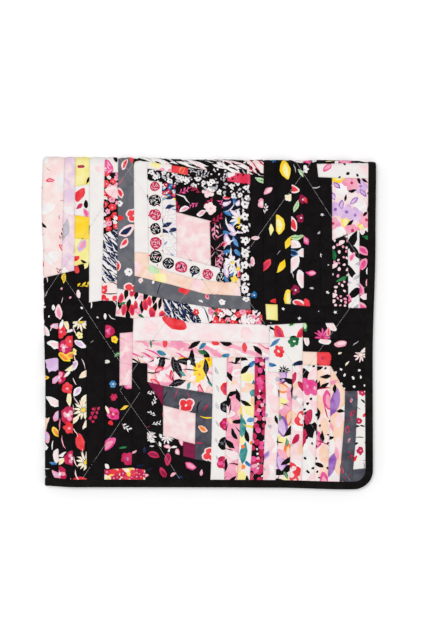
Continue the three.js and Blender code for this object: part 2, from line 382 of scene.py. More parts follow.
CLOTHS = {
    # cloth: its ink, the second ink clouded over it, how strongly
    "black": ("0c090a", "161314", 0.5),
    "navy": ("0b0f20", "161d38", 0.5),
    "charcoal": ("5d5e65", "6f6f75", 0.8),
    "dark_charcoal": ("3f4049", "585962", 0.8),
    "white": ("e7e4e0", "e1dadc", 0.5),
    "white_wash": ("e9e4e2", "ebd3d7", 0.8),
    "pale_pink": ("edd1cf", "ece2de", 0.8),
    "pink_wash": ("ebc4c7", "eae0dd", 0.9),
    "lilac_wash": ("dcc2d6", "ecdcd9", 0.9),
    "pink": ("e8b0bf", "eecdd1", 0.8),
    "peach": ("ebc5b0", "efdacd", 0.8),
    "pale_yellow": ("e9dc80", "eee8aa", 0.8),
    "yellow": ("f2c81c", "f3db62", 0.5),
    "cream": ("ece0c2", "efe8d8", 0.6),
    "red": ("dc2f35", "e4535b", 0.6),
    "rose_red": ("d32f4c", "df5577", 0.7),
    "maroon": ("741639", "8c2450", 0.6),
}
INKS = {
    # ink: its colour, the colour clouded over it, how strongly
    "black": ("0c090a", "191618", 0.4),
    "charcoal": ("4f5058", "6f7079", 0.6),
    "dark_charcoal": ("3f4049", "585962", 0.6),
    "white": ("ece9e6", "ded5db", 0.6),
    "cream": ("ece0c2", "efe8d8", 0.6),
    "grey": ("aaa6ae", "cfcad2", 0.7),
    "pale_pink": ("eecbd0", "f0dfdd", 0.7),
    "pink": ("e78dab", "eeb9c5", 0.7),
    "hot_pink": ("dc3c84", "e873a6", 0.7),
    "red": ("dc2c33", "e7535a", 0.7),
    "crimson": ("b41c47", "cf3f68", 0.6),
    "maroon": ("7c1139", "a52650", 0.6),
    "orange": ("e97732", "f0a061", 0.6),
    "peach": ("edc2a7", "f0d8c8", 0.6),
    "yellow": ("f2c81c", "f3db62", 0.6),
    "pale_yellow": ("ece08c", "f0ebc0", 0.6),
    "green": ("155c38", "438a52", 0.6),
    "pale_green": ("b3d49e", "d4e6c8", 0.6),
    "teal": ("277d80", "6aa9a6", 0.7),
    "blue": ("1d63a0", "6ba1cc", 0.7),
    "navy": ("101731", "273965", 0.6),
    "purple": ("8650a6", "b48cc8", 0.7),
    "lilac": ("cba6d1", "e0cbe6", 0.7),
}


# Each motif gives its outlines with their inks. Its proportions are shares of its size.
def oval(length, width, start=0.0, tip=0.0, lean=0.0, steps=12):
    """An oval that runs along x from start, pointed as tip goes to 1, and bowed by lean."""
    turn = np.linspace(0, 2 * math.pi, steps, endpoint=False)
    along, out = np.cos(turn), np.sin(turn)
    wide = out * (1 - tip * along**2) * width / 2 + lean * length * (1 - along**2)
    return np.stack([start + length * (1 + along) / 2, wide], axis=-1)


def turned(shape, turn):
    """A shape turned round the place where its motif starts."""
    cos, sin = math.cos(turn), math.sin(turn)
    return shape @ np.array([[cos, sin], [-sin, cos]])


def petals(count, length, width, start, ink, dice, tip=0.0):
    """Petals set round a flower's heart, from start outwards."""
    made = []
    for k in range(count):
        size = length * dice.uniform(0.85, 1.1)
        turn = 2 * math.pi * (k + dice.uniform(-0.13, 0.13)) / count
        made.append((turned(oval(size, width, start, tip, steps=10), turn), ink))
    return made


def heart(size, width, height, ink, steps=8):
    """The round middle of a flower, with its sides as shares of the flower's size."""
    return [(oval(size * width, size * height, -size * width / 2, steps=steps), ink)]


def blossom(size, inks, dice):
    made = petals(dice.choice((5, 5, 6)), size * 0.46, size * 0.42, size * 0.04, inks[0], dice)
    return made + heart(size, 0.22, 0.2, inks[-1])


def daisy(size, inks, dice):
    made = petals(dice.choice((10, 11, 12)), size * 0.42, size * 0.13, size * 0.1, inks[0], dice, 0.3)
    return made + heart(size, 0.26, 0.24, inks[-1], 9)


def spiky_flower(size, inks, dice):
    made = petals(13, size * 0.42, size * 0.12, size * 0.08, inks[0], dice, tip=0.9)
    return made + heart(size, 0.2, 0.2, inks[-1])


def poppy(size, inks, dice):
    made = petals(4, size * 0.5, size * 0.62, 0.0, inks[0], dice)
    made += petals(3, size * 0.32, size * 0.26, size * 0.03, inks[1], dice)
    return made + heart(size, 0.2, 0.18, inks[-1])


def edged_bloom(size, inks, dice):
    """A flower of four broad petals, with a pale edge left round it."""
    made = []
    for width, reach, ink in ((0.56, 0.5, inks[0]), (0.42, 0.42, inks[1])):
        same_petals = random.Random(round(size * 1000))
        made += petals(4, size * reach, size * width, size * 0.02, ink, same_petals)
    return made + heart(size, 0.16, 0.12, inks[-1], 7)


def rose(size, inks, dice):
    """A round rose, with two rings of petal edges and a pale heart."""
    made = [(oval(size, size * 0.92, -size / 2, steps=16), inks[0])]
    for reach, parts in ((0.34, 4), (0.19, 3)):
        turn = dice.uniform(0, 6.3)
        for part in range(parts):
            long = size * reach * 4.8 / parts
            bow = oval(long, size * 0.06, -long / 2, 0.5, -0.13, 9) + np.array([0.0, size * reach])
            made.append((turned(bow, turn + 2 * math.pi * part / parts), inks[1]))
    return made + [(oval(size * 0.13, size * 0.11, -size * 0.06, steps=6), inks[1])]


def leaf(size, inks, dice):
    """A pointed leaf, with its ribs drawn where there is a second ink."""
    width = 0.36
    lean = dice.uniform(-0.08, 0.08)
    made = [(oval(size, size * width, -size / 2, 0.75, lean, 14), inks[0])]
    if len(inks) > 1:
        made.append((oval(size * 0.9, size * 0.04, -size * 0.46, 0.5, lean), inks[1]))
        for k, side in product(range(5), (-1, 1)):
            reach = size * width * (0.5 - 0.07 * abs(k - 2))
            rib = oval(reach, size * 0.022, 0.0, 0.4, 0.12 * side, 6)
            rib = turned(rib, side * 0.75) + np.array([size * (0.16 * k - 0.38), 0.0])
            made.append((rib, inks[1]))
    return made


def stroke(size, inks, dice):
    width = size * dice.uniform(0.07, 0.13)
    return [(oval(size, width, -size / 2, 0.6, dice.uniform(-0.16, 0.16)), inks[0])]


def brush(size, inks, dice):
    """A broad, ragged pull of the brush."""
    along = np.linspace(-0.5, 0.5, 7)
    thick = np.array([dice.uniform(0.07, 0.14) for _ in range(14)])
    bow = dice.uniform(-0.1, 0.1) * (1 - 4 * along**2)
    upper = np.stack([along, bow + thick[:7]], -1)
    lower = np.stack([along[::-1], bow[::-1] - thick[7:]], -1)
    return [(np.concatenate([upper, lower]) * size, inks[0])]


def splash(size, inks, dice):
    """A soft blot, with a smaller one on it where there is a second ink."""
    made = []
    for scale, ink in zip((1.0, 0.5), inks):
        turn = np.linspace(0, 2 * math.pi, 16, endpoint=False)
        reach = scale * size / 2 * np.array([dice.uniform(0.68, 1.05) for _ in turn])
        offset = np.array([dice.uniform(-0.12, 0.12) * size * (1 - scale), 0.0])
        made.append((np.stack([reach * np.cos(turn), 0.8 * reach * np.sin(turn)], -1) + offset, ink))
    return made


def petal(size, inks, dice):
    """A single petal, with a second ink inside it where there is one."""
    lean = dice.uniform(-0.07, 0.07)
    made = [(oval(size, size * 0.52, -size / 2, 0.35, lean), inks[0])]
    if len(inks) > 1:
        made.append((oval(size * 0.7, size * 0.3, -size * 0.3, 0.4, lean, 10), inks[1]))
    return made


def dot(size, inks, dice):
    return [(oval(size, size * dice.uniform(0.8, 1.0), -size / 2, steps=9), inks[0])]


def star(size, inks, dice):
    turn = np.linspace(0, 2 * math.pi, 10, endpoint=False)
    reach = np.where(np.arange(10) % 2, 0.22, 0.5) * size
    return [(np.stack([reach * np.cos(turn), reach * np.sin(turn)], axis=-1), inks[0])]


def berries(size, inks, dice):
    """A stalk with seven berries, on either side of it by turns."""
    made = [(oval(size, size * 0.04, -size / 2, 0.4, 0.06), inks[-1])]
    for k in range(7):
        out = size * dice.uniform(0.08, 0.16)
        at = np.array([size * (k / 7 - 0.42), out if k % 2 else -out])
        made.append((oval(size * 0.2, size * 0.18, -size * 0.1, steps=9) + at, inks[0]))
    return made


def sprig(size, inks, dice):
    """A stalk with five small leaves, on either side of it by turns."""
    made = [(oval(size, size * 0.05, -size / 2, 0.4, 0.05), inks[0])]
    for k in range(5):
        blade = turned(oval(size * 0.34, size * 0.13, 0.0, 0.7, steps=8), 0.7 if k % 2 else -0.7)
        made.append((blade + np.array([size * (k / 6 - 0.35), 0.0]), inks[k % len(inks)]))
    return made


def block(size, inks, dice):
    """A block of colour with a soft, uneven edge."""
    turn = np.linspace(0, 2 * math.pi, 20, endpoint=False) + 0.16
    square = np.maximum(np.abs(np.cos(turn)), np.abs(np.sin(turn)))
    reach = size / 2 / square * np.array([dice.uniform(0.94, 1.05) for _ in turn])
    return [(np.stack([reach * np.cos(turn), reach * np.sin(turn)], axis=-1), inks[0])]


STARS = [(star, 8, "white", 44), (dot, 2.5, "grey", 52)]

PATCHES = [
    # name, cloth, corners, and the print as rows of a motif, its size in millimetres, its
    # inks and where it goes: how far apart it is scattered, the same with the way that it
    # runs, or its pixels with its turns
    ("pink_wash_edge", "pale_pink",
     [(LEFT, OVER), (64.5, OVER), (61.3, 273.5), (LEFT, 279)],
     [(splash, 34, "white", 52), (sprig, 20, "maroon", 62), (stroke, 13, "crimson", 48),
      (petal, 17, "red pink", 78), (leaf, 20, "black", 84)]),
    ("lilac_wash_strip", "lilac_wash",
     [(64.5, OVER), (76.5, OVER), (74, 270.5), (61.3, 273.5), (64.5, 157)],
     [(splash, 24, "white", 46), (stroke, 12, "grey", 40), (leaf, 46, "grey", (80, 1.5))]),
    ("upper_yellow_scrap", "pale_yellow",
     [(76.5, OVER), (90.5, OVER), (89.3, 184), (75.1, 186), (75.5, 157)],
     [(leaf, 15, "black", 40), (petal, 16, "maroon crimson", 40), (splash, 20, "yellow", 50)]),
    ("white_petal_scrap", "white",
     [(75.1, 186), (89.3, 184), (89.1, 217), (74.7, 215)],
     [(petal, 30, "red", 34), (petal, 24, "pink hot_pink", 34), (petal, 16, "black", 40),
      (petal, 16, "crimson", 42)]),
    ("bright_yellow_scrap", "yellow", [(74.7, 215), (89.1, 217), (89, 239), (74.4, 238)], []),
    ("lower_yellow_scrap", "pale_yellow",
     [(74.4, 238), (89, 239), (88.9, 262), (74.1, 266)],
     [(petal, 26, "lilac pink", 34), (petal, 20, "red", 34), (leaf, 15, "black", 36)]),
    ("yellow_sprig_scrap", "black",
     [(74.1, 266), (88.9, 262), (88.8, 287), (74, 286)],
     [(sprig, 28, "yellow", 30), (leaf, 24, "pale_yellow", 30), (petal, 18, "red", 36)]),
    ("long_white_strip", "white",
     [(90.5, OVER), (105.5, OVER), (101.3, 300.5), (88.8, 302.5), (89.4, 157)],
     [(splash, 20, "pale_pink", 95)]),
    ("bright_rose_scrap", "white",
     [(105.5, OVER), (118.6, OVER), (118, 172), (104.4, 173), (104.8, 157)],
     [(rose, 28, "hot_pink pale_pink", 30), (petal, 16, "black", 30)]),
    ("red_blossom_scrap", "black",
     [(104.4, 173), (118, 172), (117.4, 228), (103.1, 234)],
     [(blossom, 14, "red pink", 16), (blossom, 12, "pink crimson", 17), (blossom, 9, "white red", 19),
      (petal, 38, "pale_pink", 74)]),
    ("striped_leaf_scrap", "white",
     [(103.1, 234), (117.4, 228), (116.8, 281), (101.7, 283)],
     [(leaf, 44, "navy white", (22, 0.5)), (stroke, 28, "navy", (9, 0.6)),
      (stroke, 26, "white", (13, 0.7))]),
    ("pink_blossom_scrap", "pale_pink",
     [(101.7, 283), (116.8, 281), (116.6, 301), (101.3, 300.5)],
     [(blossom, 22, "red pink", 20), (stroke, 26, "black", (22, 0.0))]),
    ("charcoal_flower_strip", "charcoal",
     [(118.6, OVER), (134, OVER), (133.6, 291.5), (116.8, 288.2), (118.2, 157)],
     [(edged_bloom, 31, "pale_pink red white", 58), (petal, 22, "pale_pink red", 50),
      (petal, 22, "red", 80), (blossom, 15, "white charcoal", 80), (petal, 34, "pale_pink navy", 95),
      (stroke, 16, "crimson", 70)]),
    ("scribbled_band", "black",
     [(134, OVER), (247, OVER), (247, 173.7), (171.5, 165), (133.6, 160)],
     [(stroke, 62, "white", (23, 0.1)), (stroke, 46, "pale_pink", (34, 0.2)),
      (brush, 24, "white", (38, 0.05)), (stroke, 26, "grey", (28, 0.4)), (splash, 6, "white", 20),
      (stroke, 30, "black", (24, 0.15))]),
    ("scribbled_pink_band", "pale_pink",
     [(247, OVER), (264.6, OVER), (263.6, 176), (247, 173.7)],
     [(brush, 24, "black", (17, 0.35)), (stroke, 24, "crimson", (17, 0.8)),
      (stroke, 22, "white", (17, 0.3))]),
    ("white_and_yellow_scrap", "white",
     [(146.8, 161.5), (171.5, 165), (171.5, 172.2), (147.3, 168.5)],
     [(splash, 22, "pale_yellow", 26), (petal, 12, "pink", 18)]),
    ("red_scrap", "red",
     [(171.5, 165), (188, 167.5), (188, 175), (171.5, 172.2)],
     [(petal, 20, "orange red", 20)]),
    ("sprigged_black_scrap", "black",
     [(188, 167.5), (227.3, 172), (227.3, 181), (188, 175)],
     [(sprig, 18, "grey", 17), (dot, 4, "white", 13)]),
    ("crimson_blossom_scrap", "rose_red",
     [(227.3, 172), (250.3, 174), (250.3, 184.5), (227.3, 181)],
     [(blossom, 22, "white pale_pink", 30), (dot, 4, "black", 15)]),
    ("block_one_white_log", "white", [(133.6, 160), (146.8, 161.5), (148.5, 253), (134.1, 252)], []),
    ("block_one_peach_log", "peach",
     [(134.1, 252), (148.5, 253), (148.7, 264.5), (191, 278), (214, 281.5), (240.6, 282.3), (241, 296),
      (205, 294), (134.3, 275.8)],
     [(splash, 34, "pale_pink", 46), (splash, 30, "pale_yellow", 70), (splash, 24, "pale_green", 96)]),
    ("block_one_charcoal_log", "charcoal",
     [(134.3, 275.8), (172, 285), (205, 294), (250.6, 297.2), (250.8, 310), (205, 306.5), (162, 298.5),
      (133.6, 291.5)],
     [(stroke, 26, "navy", 74), (petal, 14, "pink red", 74), (blossom, 10, "pale_pink red", 66),
      (blossom, 25, "red crimson", 78), (blossom, 15, "white charcoal", 60), (petal, 9, "white", 62)]),
    ("blossom_log_across", "black",
     [(147.3, 168.5), (250.3, 184.5), (250.5, 202), (240, 200), (195, 187), (147.5, 180)],
     [(blossom, 11, "white black", 14.5), (petal, 9, "grey", 16), (dot, 3.5, "white", 12)]),
    ("blossom_log_down", "black",
     [(240, 200), (250.5, 202), (250.6, 297.2), (241, 296)],
     [(blossom, 16, "white black", [(245, 192 + 12.2 * k, k) for k in range(9)]),
      (petal, 9, "grey white", 13)]),
    ("rose_log_down", "white",
     [(147.5, 180), (162, 182), (163, 253.5), (162, 269.5), (148.7, 264.5)],
     [(rose, 22, "crimson pale_pink", [(154.7 + 0.4 * k, 186 + 28.4 * k, k) for k in range(3)]),
      (rose, 22, "black white", [(154.9 + 0.4 * k, 200.2 + 28.4 * k, k) for k in range(3)]),
      (dot, 3, "crimson", 16)]),
    ("rose_log_across", "white",
     [(163, 253.5), (223.6, 269), (223.9, 281.9), (191, 278), (162, 269.5)],
     [(rose, 21, "black white", [(168 + 26.5 * k, 263 + 7.2 * k, k) for k in range(3)]),
      (rose, 22, "crimson pale_pink", [(181 + 26.5 * k, 267 + 7.2 * k, k) for k in range(2)]),
      (leaf, 12, "navy", 30)]),
    ("tiny_flower_scrap", "black",
     [(162, 182), (175.6, 184), (175.6, 198), (162, 194.5)],
     [(blossom, 10, "crimson white", 12), (blossom, 8, "blue white", 12), (star, 7, "white", 12)]),
    ("blue_sketch_log", "white",
     [(162, 194.5), (175.6, 198), (177, 256.7), (163, 253.5)],
     [(leaf, 12, "blue white", 22), (stroke, 12, "lilac", 11), (stroke, 10, "grey", 11),
      (leaf, 22, "navy", 24), (dot, 4, "yellow", 34)]),
    ("pink_petal_log", "black",
     [(175.6, 184), (195, 187), (222.8, 195.5), (222.9, 222), (209.8, 220.5), (176, 211.8)],
     [(sprig, 27, "crimson", 34), (sprig, 22, "hot_pink", 44), (petal, 21, "white pink", 56),
      (blossom, 25, "pale_pink pink", 52), (stroke, 30, "white", 60)]),
    ("coral_branch_log", "black",
     [(209.8, 220.5), (222.9, 222), (223.6, 269), (211, 265.5)],
     [(sprig, 27, "pink", (28, 1.5)), (stroke, 15, "pink", 15), (stroke, 12, "crimson", 16)]),
    ("daisy_log", "navy",
     [(222.8, 195.5), (240, 200), (240.6, 282.3), (223.9, 281.9)],
     [(leaf, 22, "blue", 24), (petal, 20, "lilac white", 22), (stroke, 26, "white", 30),
      (daisy, 34, "white yellow", 44), (blossom, 17, "yellow white", 50), (petal, 17, "pink red", 44),
      (leaf, 13, "black", 20)]),
    ("block_one_centre", "pink_wash", [(176, 211.8), (209.8, 220.5), (211, 265.5), (177, 256.7)], []),
    ("pink_rose_on_black", "black",
     [(250.3, 174), (263.6, 176), (263.4, 301), (250.6, 297.2)],
     [(splash, 26, "pink pale_pink", 72), (blossom, 15, "blue white", 72),
      (petal, 17, "pale_pink pink", 54), (leaf, 28, "pale_green green", 78)]),
    ("pink_petals_on_black", "black",
     [(264.6, OVER), (277.5, OVER), (276, 160), (276.2, 303.3), (263.4, 301)],
     [(petal, 28, "red crimson", 92), (petal, 24, "pink pale_pink", 60), (leaf, 24, "pale_yellow", 92),
      (spiky_flower, 19, "blue navy", 92), (petal, 18, "red", 92), (sprig, 18, "white", 92)]),
    ("yellow_leaf_strip", "black",
     [(277.5, OVER), (293, OVER), (290.5, 304), (276.2, 303.3), (276, 160)],
     [(petal, 36, "yellow pale_yellow", (56, 1.3)), (leaf, 34, "yellow", (62, 1.8)),
      (blossom, 19, "cream yellow", 84), (leaf, 22, "pale_green green", 90),
      (stroke, 26, "pale_yellow", 90), (stroke, 14, "grey", 84)]),
    ("pale_petal_strip", "black",
     [(293, OVER), (305, OVER), (303.6, 163.8), (304, 306), (290.5, 304), (292, 160)],
     [(petal, 30, "pale_pink red", 46), (petal, 34, "white pale_pink", 38),
      (leaf, 27, "pale_green green", 56), (blossom, 19, "maroon white", 58), (petal, 20, "blue navy", 66),
      (stroke, 18, "grey", 44)]),
    ("bright_band_over_fold", "black",
     [(305, OVER), (FAR, OVER), (FAR, 162.5), (303.6, 163.8)],
     [(petal, 30, "hot_pink pink", 38), (petal, 24, "lilac white", 34), (stroke, 22, "pale_yellow", 34),
      (splash, 12, "white", 28)]),
    ("white_top_log", "white",
     [(317, 163.8), (FAR, 162.5), (FAR, 178.5), (318.5, 176.8)],
     [(splash, 24, "pale_pink", 62), (petal, 22, "hot_pink pink", 62), (splash, 7, "black", 26)]),
    ("poppy_strip", "black",
     [(303.6, 163.8), (317, 163.8), (318.5, 176.8), (320.3, 177), (320.5, 307), (304, 306)],
     [(poppy, 24, "red red crimson", 86), (blossom, 15, "white grey", 80),
      (petal, 19, "hot_pink pink", 66), (petal, 18, "crimson red", 86), (petal, 10, "grey", 62),
      (stroke, 16, "grey", 80)]),
    ("starry_strip", "black", [(320.3, 177), (332.2, 177.5), (332.8, 308), (320.5, 307)], STARS),
    ("pink_bloom_block", "pink_wash",
     [(332.2, 177.5), (FAR, 178.5), (FAR, 226), (332.5, 240)],
     [(splash, 34, "white", 52), (petal, 32, "yellow pale_yellow", 50), (blossom, 34, "lilac purple", 44),
      (blossom, 30, "pink crimson", 46), (petal, 18, "purple lilac", 38), (leaf, 16, "black", 32)]),
    ("pale_berry_strip", "black",
     [(332.5, 240), (348, 234), (348.6, 308), (332.8, 308)],
     [(petal, 16, "pale_pink", 40), (leaf, 26, "green", 44), (dot, 6, "pale_pink", 14),
      (dot, 5, "pink", 16)]),
    ("white_leaf_strip", "white",
     [(348, 234), (359.8, 230), (359.8, 308), (348.6, 308)],
     [(leaf, 38, "black", 28), (petal, 24, "white grey", 26), (petal, 20, "pink hot_pink", 40),
      (leaf, 16, "crimson black", 50)]),
    ("rose_edge_strip", "black",
     [(359.8, 230), (FAR, 226), (FAR, 308), (359.8, 308)],
     [(leaf, 22, "green", 62), (petal, 28, "pink hot_pink", 27), (petal, 24, "white pale_pink", 30),
      (leaf, 14, "black", 30)]),
    ("yellow_square", "pale_yellow", [(265.5, 304), (277.7, 304.5), (278, 320.5), (266.5, 319.5)], []),
    ("black_corner_scrap", "black",
     [(250.6, 297.2), (276.2, 303.3), (290.5, 304), (277.7, 304.5), (265.5, 304), (266.5, 319.5),
      (269.8, 325), (263, 324.5), (262, 310.5), (250.8, 310)], []),
    ("black_star_band", "black",
     [(290.5, 304), (332.8, 308), (FAR, 308), (FAR, 323), (303, 323), (269.8, 325), (266.5, 319.5),
      (278, 320.5), (277.7, 304.5)], STARS),
    ("tulip_band", "pale_pink",
     [(116.8, 288.2), (163, 298.8), (165.5, 316), (133.2, 318.4), (115.2, 316)],
     [(splash, 28, "white", 38), (leaf, 26, "black", (20, 1.4)), (petal, 22, "red crimson", (22, 1.4)),
      (leaf, 15, "green", 46), (blossom, 11, "pink white", 36)]),
    ("plume_scrap", "white",
     [(163, 298.8), (178.5, 302.2), (208.5, 307), (208.8, 323.2), (190, 322.6), (165.5, 316)],
     [(leaf, 52, "navy white", (24, 0.5)), (stroke, 30, "white", (16, 0.9)),
      (stroke, 34, "navy", (14, 0.8)), (blossom, 15, "red white", 54)]),
    ("small_floral_band", "black",
     [(208.5, 307), (224.4, 308.7), (262, 310.5), (263, 324.5), (208.8, 323.2)],
     [(petal, 22, "pale_pink white", 32), (blossom, 15, "red pink", 20), (blossom, 13, "pink red", 20),
      (blossom, 11, "white crimson", 19), (petal, 9, "pale_pink", 16), (leaf, 10, "green", 28)]),
    ("wide_white_band", "white_wash",
     [(133.2, 318.4), (165.5, 316), (190, 322.6), (269.8, 325), (269.5, 343.5), (200, 341), (132.5, 341)],
     [(splash, 34, "pale_pink", 60), (petal, 48, "red", (96, 0.1))]),
    ("pink_stroke_band", "pink_wash",
     [(132.5, 341), (200, 341), (269.5, 343.5), (269, 357.5), (132.2, 357)],
     [(brush, 40, "pink", (32, 0.1)), (stroke, 34, "hot_pink", (40, 0.3)),
      (brush, 26, "white", (36, 0.2)), (leaf, 28, "black", 42), (petal, 17, "teal blue", 48),
      (petal, 17, "red", 54), (leaf, 17, "green", 62)]),
    ("painted_band", "white_wash",
     [(132.2, 357), (200, 357.5), (212, 357.5), (212.5, 394), (147.3, 382), (147.3, 363.5), (132, 362.5)],
     [(petal, 46, "pink pale_pink", 40), (petal, 32, "peach pale_pink", 38),
      (blossom, 28, "yellow orange", 46), (leaf, 36, "black charcoal", 34), (petal, 22, "red pink", 42),
      (leaf, 18, "teal", 52), (stroke, 30, "black", 32), (splash, 13, "white", 30)]),
    ("red_floral_scrap", "white",
     [(269.8, 325), (303, 323), (303, 337.5), (269.5, 337)],
     [(petal, 32, "red crimson", 30), (petal, 15, "pale_green green", 40), (leaf, 15, "black", 32)]),
    ("two_flower_scrap", "white",
     [(269.5, 337), (303, 337.5), (302.8, 365), (292.6, 366), (292.6, 372.5), (269, 372.5)],
     [(blossom, 25, "red white", 60), (spiky_flower, 26, "black black", 60), (leaf, 30, "navy", 60),
      (blossom, 22, "green white", 60), (leaf, 26, "blue navy", 44)]),
    ("green_and_pink_scrap", "black",
     [(303, 323), (339, 323), (339, 340.5), (303, 337.5)],
     [(daisy, 32, "hot_pink crimson", 44), (petal, 26, "white pale_pink", 44),
      (petal, 22, "green pale_green", 44), (petal, 19, "pink red", 44)]),
    ("plain_black_end", "black", [(339, 323), (FAR, 323), (FAR, 341), (339, 340.5)], []),
    ("pale_petal_band", "black",
     [(303, 337.5), (339, 340.5), (FAR, 341), (FAR, 352.5), (303, 351.5)],
     [(petal, 28, "pink pale_pink", 54), (petal, 24, "white pale_pink", 34), (stroke, 18, "grey", 54)]),
    ("peach_square", "peach", [(303, 351.5), (317.3, 352), (317.3, 365.5), (302.8, 365)], []),
    ("daisy_and_red_band", "black",
     [(317.3, 352), (FAR, 352.5), (FAR, 370), (345.4, 366), (317.3, 365.5)],
     [(poppy, 32, "red red crimson", 54), (daisy, 30, "pale_pink cream", 54), (leaf, 13, "cream", 40)]),
    ("black_end_scrap", "black",
     [(331, 366), (345.4, 366), (FAR, 370), (FAR, 391), (345.4, 391)],
     [(splash, 6, "white", 16)]),
    ("black_upper_band", "black",
     [(LEFT, 279), (44.5, 277.5), (74, 270.5), (74, 286), (88.8, 287), (88.8, 302.5), (LEFT, 303.5)],
     [(leaf, 24, "yellow black", 70), (petal, 21, "blue navy", 70), (petal, 15, "pale_pink", 70),
      (stroke, 14, "pale_pink", 40), (dot, 4, "pink", 42)]),
    ("black_middle_band", "black",
     [(LEFT, 303.5), (88.8, 302.5), (101.3, 300.5), (116.6, 301), (115, 320), (LEFT, 322)],
     [(petal, 30, "pale_pink pink", 76), (petal, 20, "pink hot_pink", 76), (stroke, 18, "white", 38),
      (dot, 4, "white", 32), (petal, 11, "white", 60)]),
    ("black_small_scrap", "black",
     [(115.2, 316), (133.2, 318.4), (132.8, 332), (119.5, 333.2), (115, 330)], []),
    ("pink_log_b", "pink",
     [(119.5, 333.2), (132.8, 332), (131.5, 385), (119.2, 386)],
     [(brush, 34, "pale_pink", 40), (stroke, 26, "pink", 30)]),
    ("black_log_b", "black", [(132, 362.5), (147.3, 363.5), (147, 446), (132, 452)], []),
    ("crimson_scrap_b", "maroon", [(147.3, 382), (163.2, 385.8), (162.9, 405.5)], []),
    ("black_inner_b", "black",
     [(147.3, 382), (162.9, 405.5), (163, 435), (147, 431)],
     [(sprig, 16, "white", 24), (stroke, 12, "crimson", 30)]),
    ("charcoal_log_b", "dark_charcoal",
     [(163.2, 385.8), (212.5, 394), (211, 462.5), (195, 459.5), (195.6, 413.7), (163, 405)],
     [(edged_bloom, 30, "pale_pink red white", 58), (petal, 22, "peach orange", 82),
      (stroke, 34, "yellow", 82), (stroke, 30, "black", 60), (stroke, 20, "crimson", 40)]),
    ("block_two_centre", "pink_wash", [(163, 405), (195.6, 413.7), (195, 444.5), (163, 435)], []),
    ("white_blossom_log_b", "black",
     [(147, 431), (183, 441.5), (183, 456.5), (147, 446)],
     [(daisy, 24, "white pale_pink", 30), (petal, 18, "pink pale_pink", 26), (leaf, 13, "white", 18)]),
    ("crimson_square_b", "maroon", [(183, 441.5), (195, 444.5), (195, 459.5), (183, 456.5)], []),
    ("black_foot_b", "black",
     [(132, 452), (147, 446), (195, 459.5), (211, 462.5), (210.3, LOW), (145, LOW), (145, 470),
      (131.2, 468)],
     [(petal, 12, "pink", 46), (petal, 24, "crimson maroon", 56), (petal, 26, "hot_pink pink", 80),
      (leaf, 15, "navy", 44)]),
    ("left_strip_one", "black",
     [(LEFT, 322), (58, 321.6), (58.5, LOW), (LEFT, LOW)],
     [(block, 27, "lilac", 110), (block, 27, "peach", 110), (petal, 30, "white pale_pink", 42),
      (petal, 22, "pink lilac", 46), (petal, 22, "yellow orange", 74), (leaf, 16, "blue", 76),
      (stroke, 18, "white", 44)]),
    ("left_strip_two", "black",
     [(58, 321.6), (72.5, 321.3), (72.8, LOW), (58.5, LOW)],
     [(leaf, 28, "cream yellow", 48), (stroke, 26, "pink", 50), (poppy, 32, "crimson pink white", 42),
      (blossom, 24, "red pink", 46), (petal, 26, "yellow orange", 60), (leaf, 20, "white", 44)]),
    ("left_strip_three", "black",
     [(72.5, 321.3), (86, 321), (86.5, LOW), (72.8, LOW)],
     [(spiky_flower, 40, "cream yellow", 52), (petal, 24, "white lilac", 52), (petal, 36, "red", 64),
      (leaf, 30, "cream peach", 46), (blossom, 16, "pale_yellow orange", 64),
      (stroke, 22, "pale_pink", (28, 0.9))]),
    ("plain_black_strip", "black",
     [(86, 321), (105, 320.3), (104, LOW), (86.5, LOW)],
     [(berries, 32, "crimson crimson", (120, 1.6)), (stroke, 9, "grey", 96)]),
    ("flower_chain_strip", "black",
     [(105, 320.3), (115, 320), (115, 330), (119.5, 333.2), (119, 420), (104.6, 420)],
     [(poppy, 26, "crimson hot_pink pink", 64), (poppy, 24, "hot_pink crimson pink", 64),
      (blossom, 16, "blue white", 64), (leaf, 22, "green pale_green", 64),
      (petal, 17, "white pale_green", 64), (blossom, 15, "crimson red", 64),
      (blossom, 15, "yellow orange", 64), (leaf, 19, "cream", 64)]),
    ("black_berry_block", "black",
     [(119.2, 386), (131.5, 385), (131.2, 468), (104.2, 470), (104.6, 420), (119, 420)],
     [(petal, 30, "hot_pink pink", 62), (blossom, 27, "crimson purple", 84), (sprig, 25, "white", 84),
      (leaf, 17, "yellow orange", 84), (petal, 15, "white", 84), (leaf, 15, "green", 84),
      (dot, 9, "red", 84)]),
    ("bright_foot_scrap", "cream",
     [(104.2, 470), (131.2, 468), (145, 470), (145, LOW), (104, LOW)],
     [(blossom, 15, "red crimson", 15), (blossom, 13, "crimson pink", 15), (petal, 10, "yellow", 20)]),
    ("half_flower_strip", "white",
     [(212, 357.5), (227, 357.5), (226.5, 420), (224, LOW), (210.3, LOW), (212.5, 394)],
     [(poppy, 25, "red crimson crimson", [(226.5, 389, 0)]),
      (poppy, 25, "black charcoal black", [(226 - k, 407 + 37 * k, k) for k in range(2)]),
      (poppy, 25, "crimson hot_pink crimson", [(225.6 - 2 * k, 425 + 38 * k, k) for k in range(2)]),
      (leaf, 14, "grey white", [(217, 371 + 17.5 * k, 1.3) for k in range(6)])]),
    ("pink_and_black_strip", "pink_wash",
     [(227, 357.5), (241, 357.5), (240.5, 420), (237, LOW), (224, LOW), (226.5, 420)],
     [(petal, 58, "pink", (38, 1.5)), (petal, 28, "white pale_pink", 36), (leaf, 26, "black", 26),
      (petal, 16, "peach", 38), (stroke, 24, "black", 30)]),
    ("teal_leaf_strip", "white",
     [(241, 357.5), (255, 357.5), (254.5, 410), (249.5, LOW), (237, LOW), (240.5, 420)],
     [(splash, 34, "pale_yellow", 40), (leaf, 44, "teal", (44, 1.4)), (petal, 17, "blue", 44),
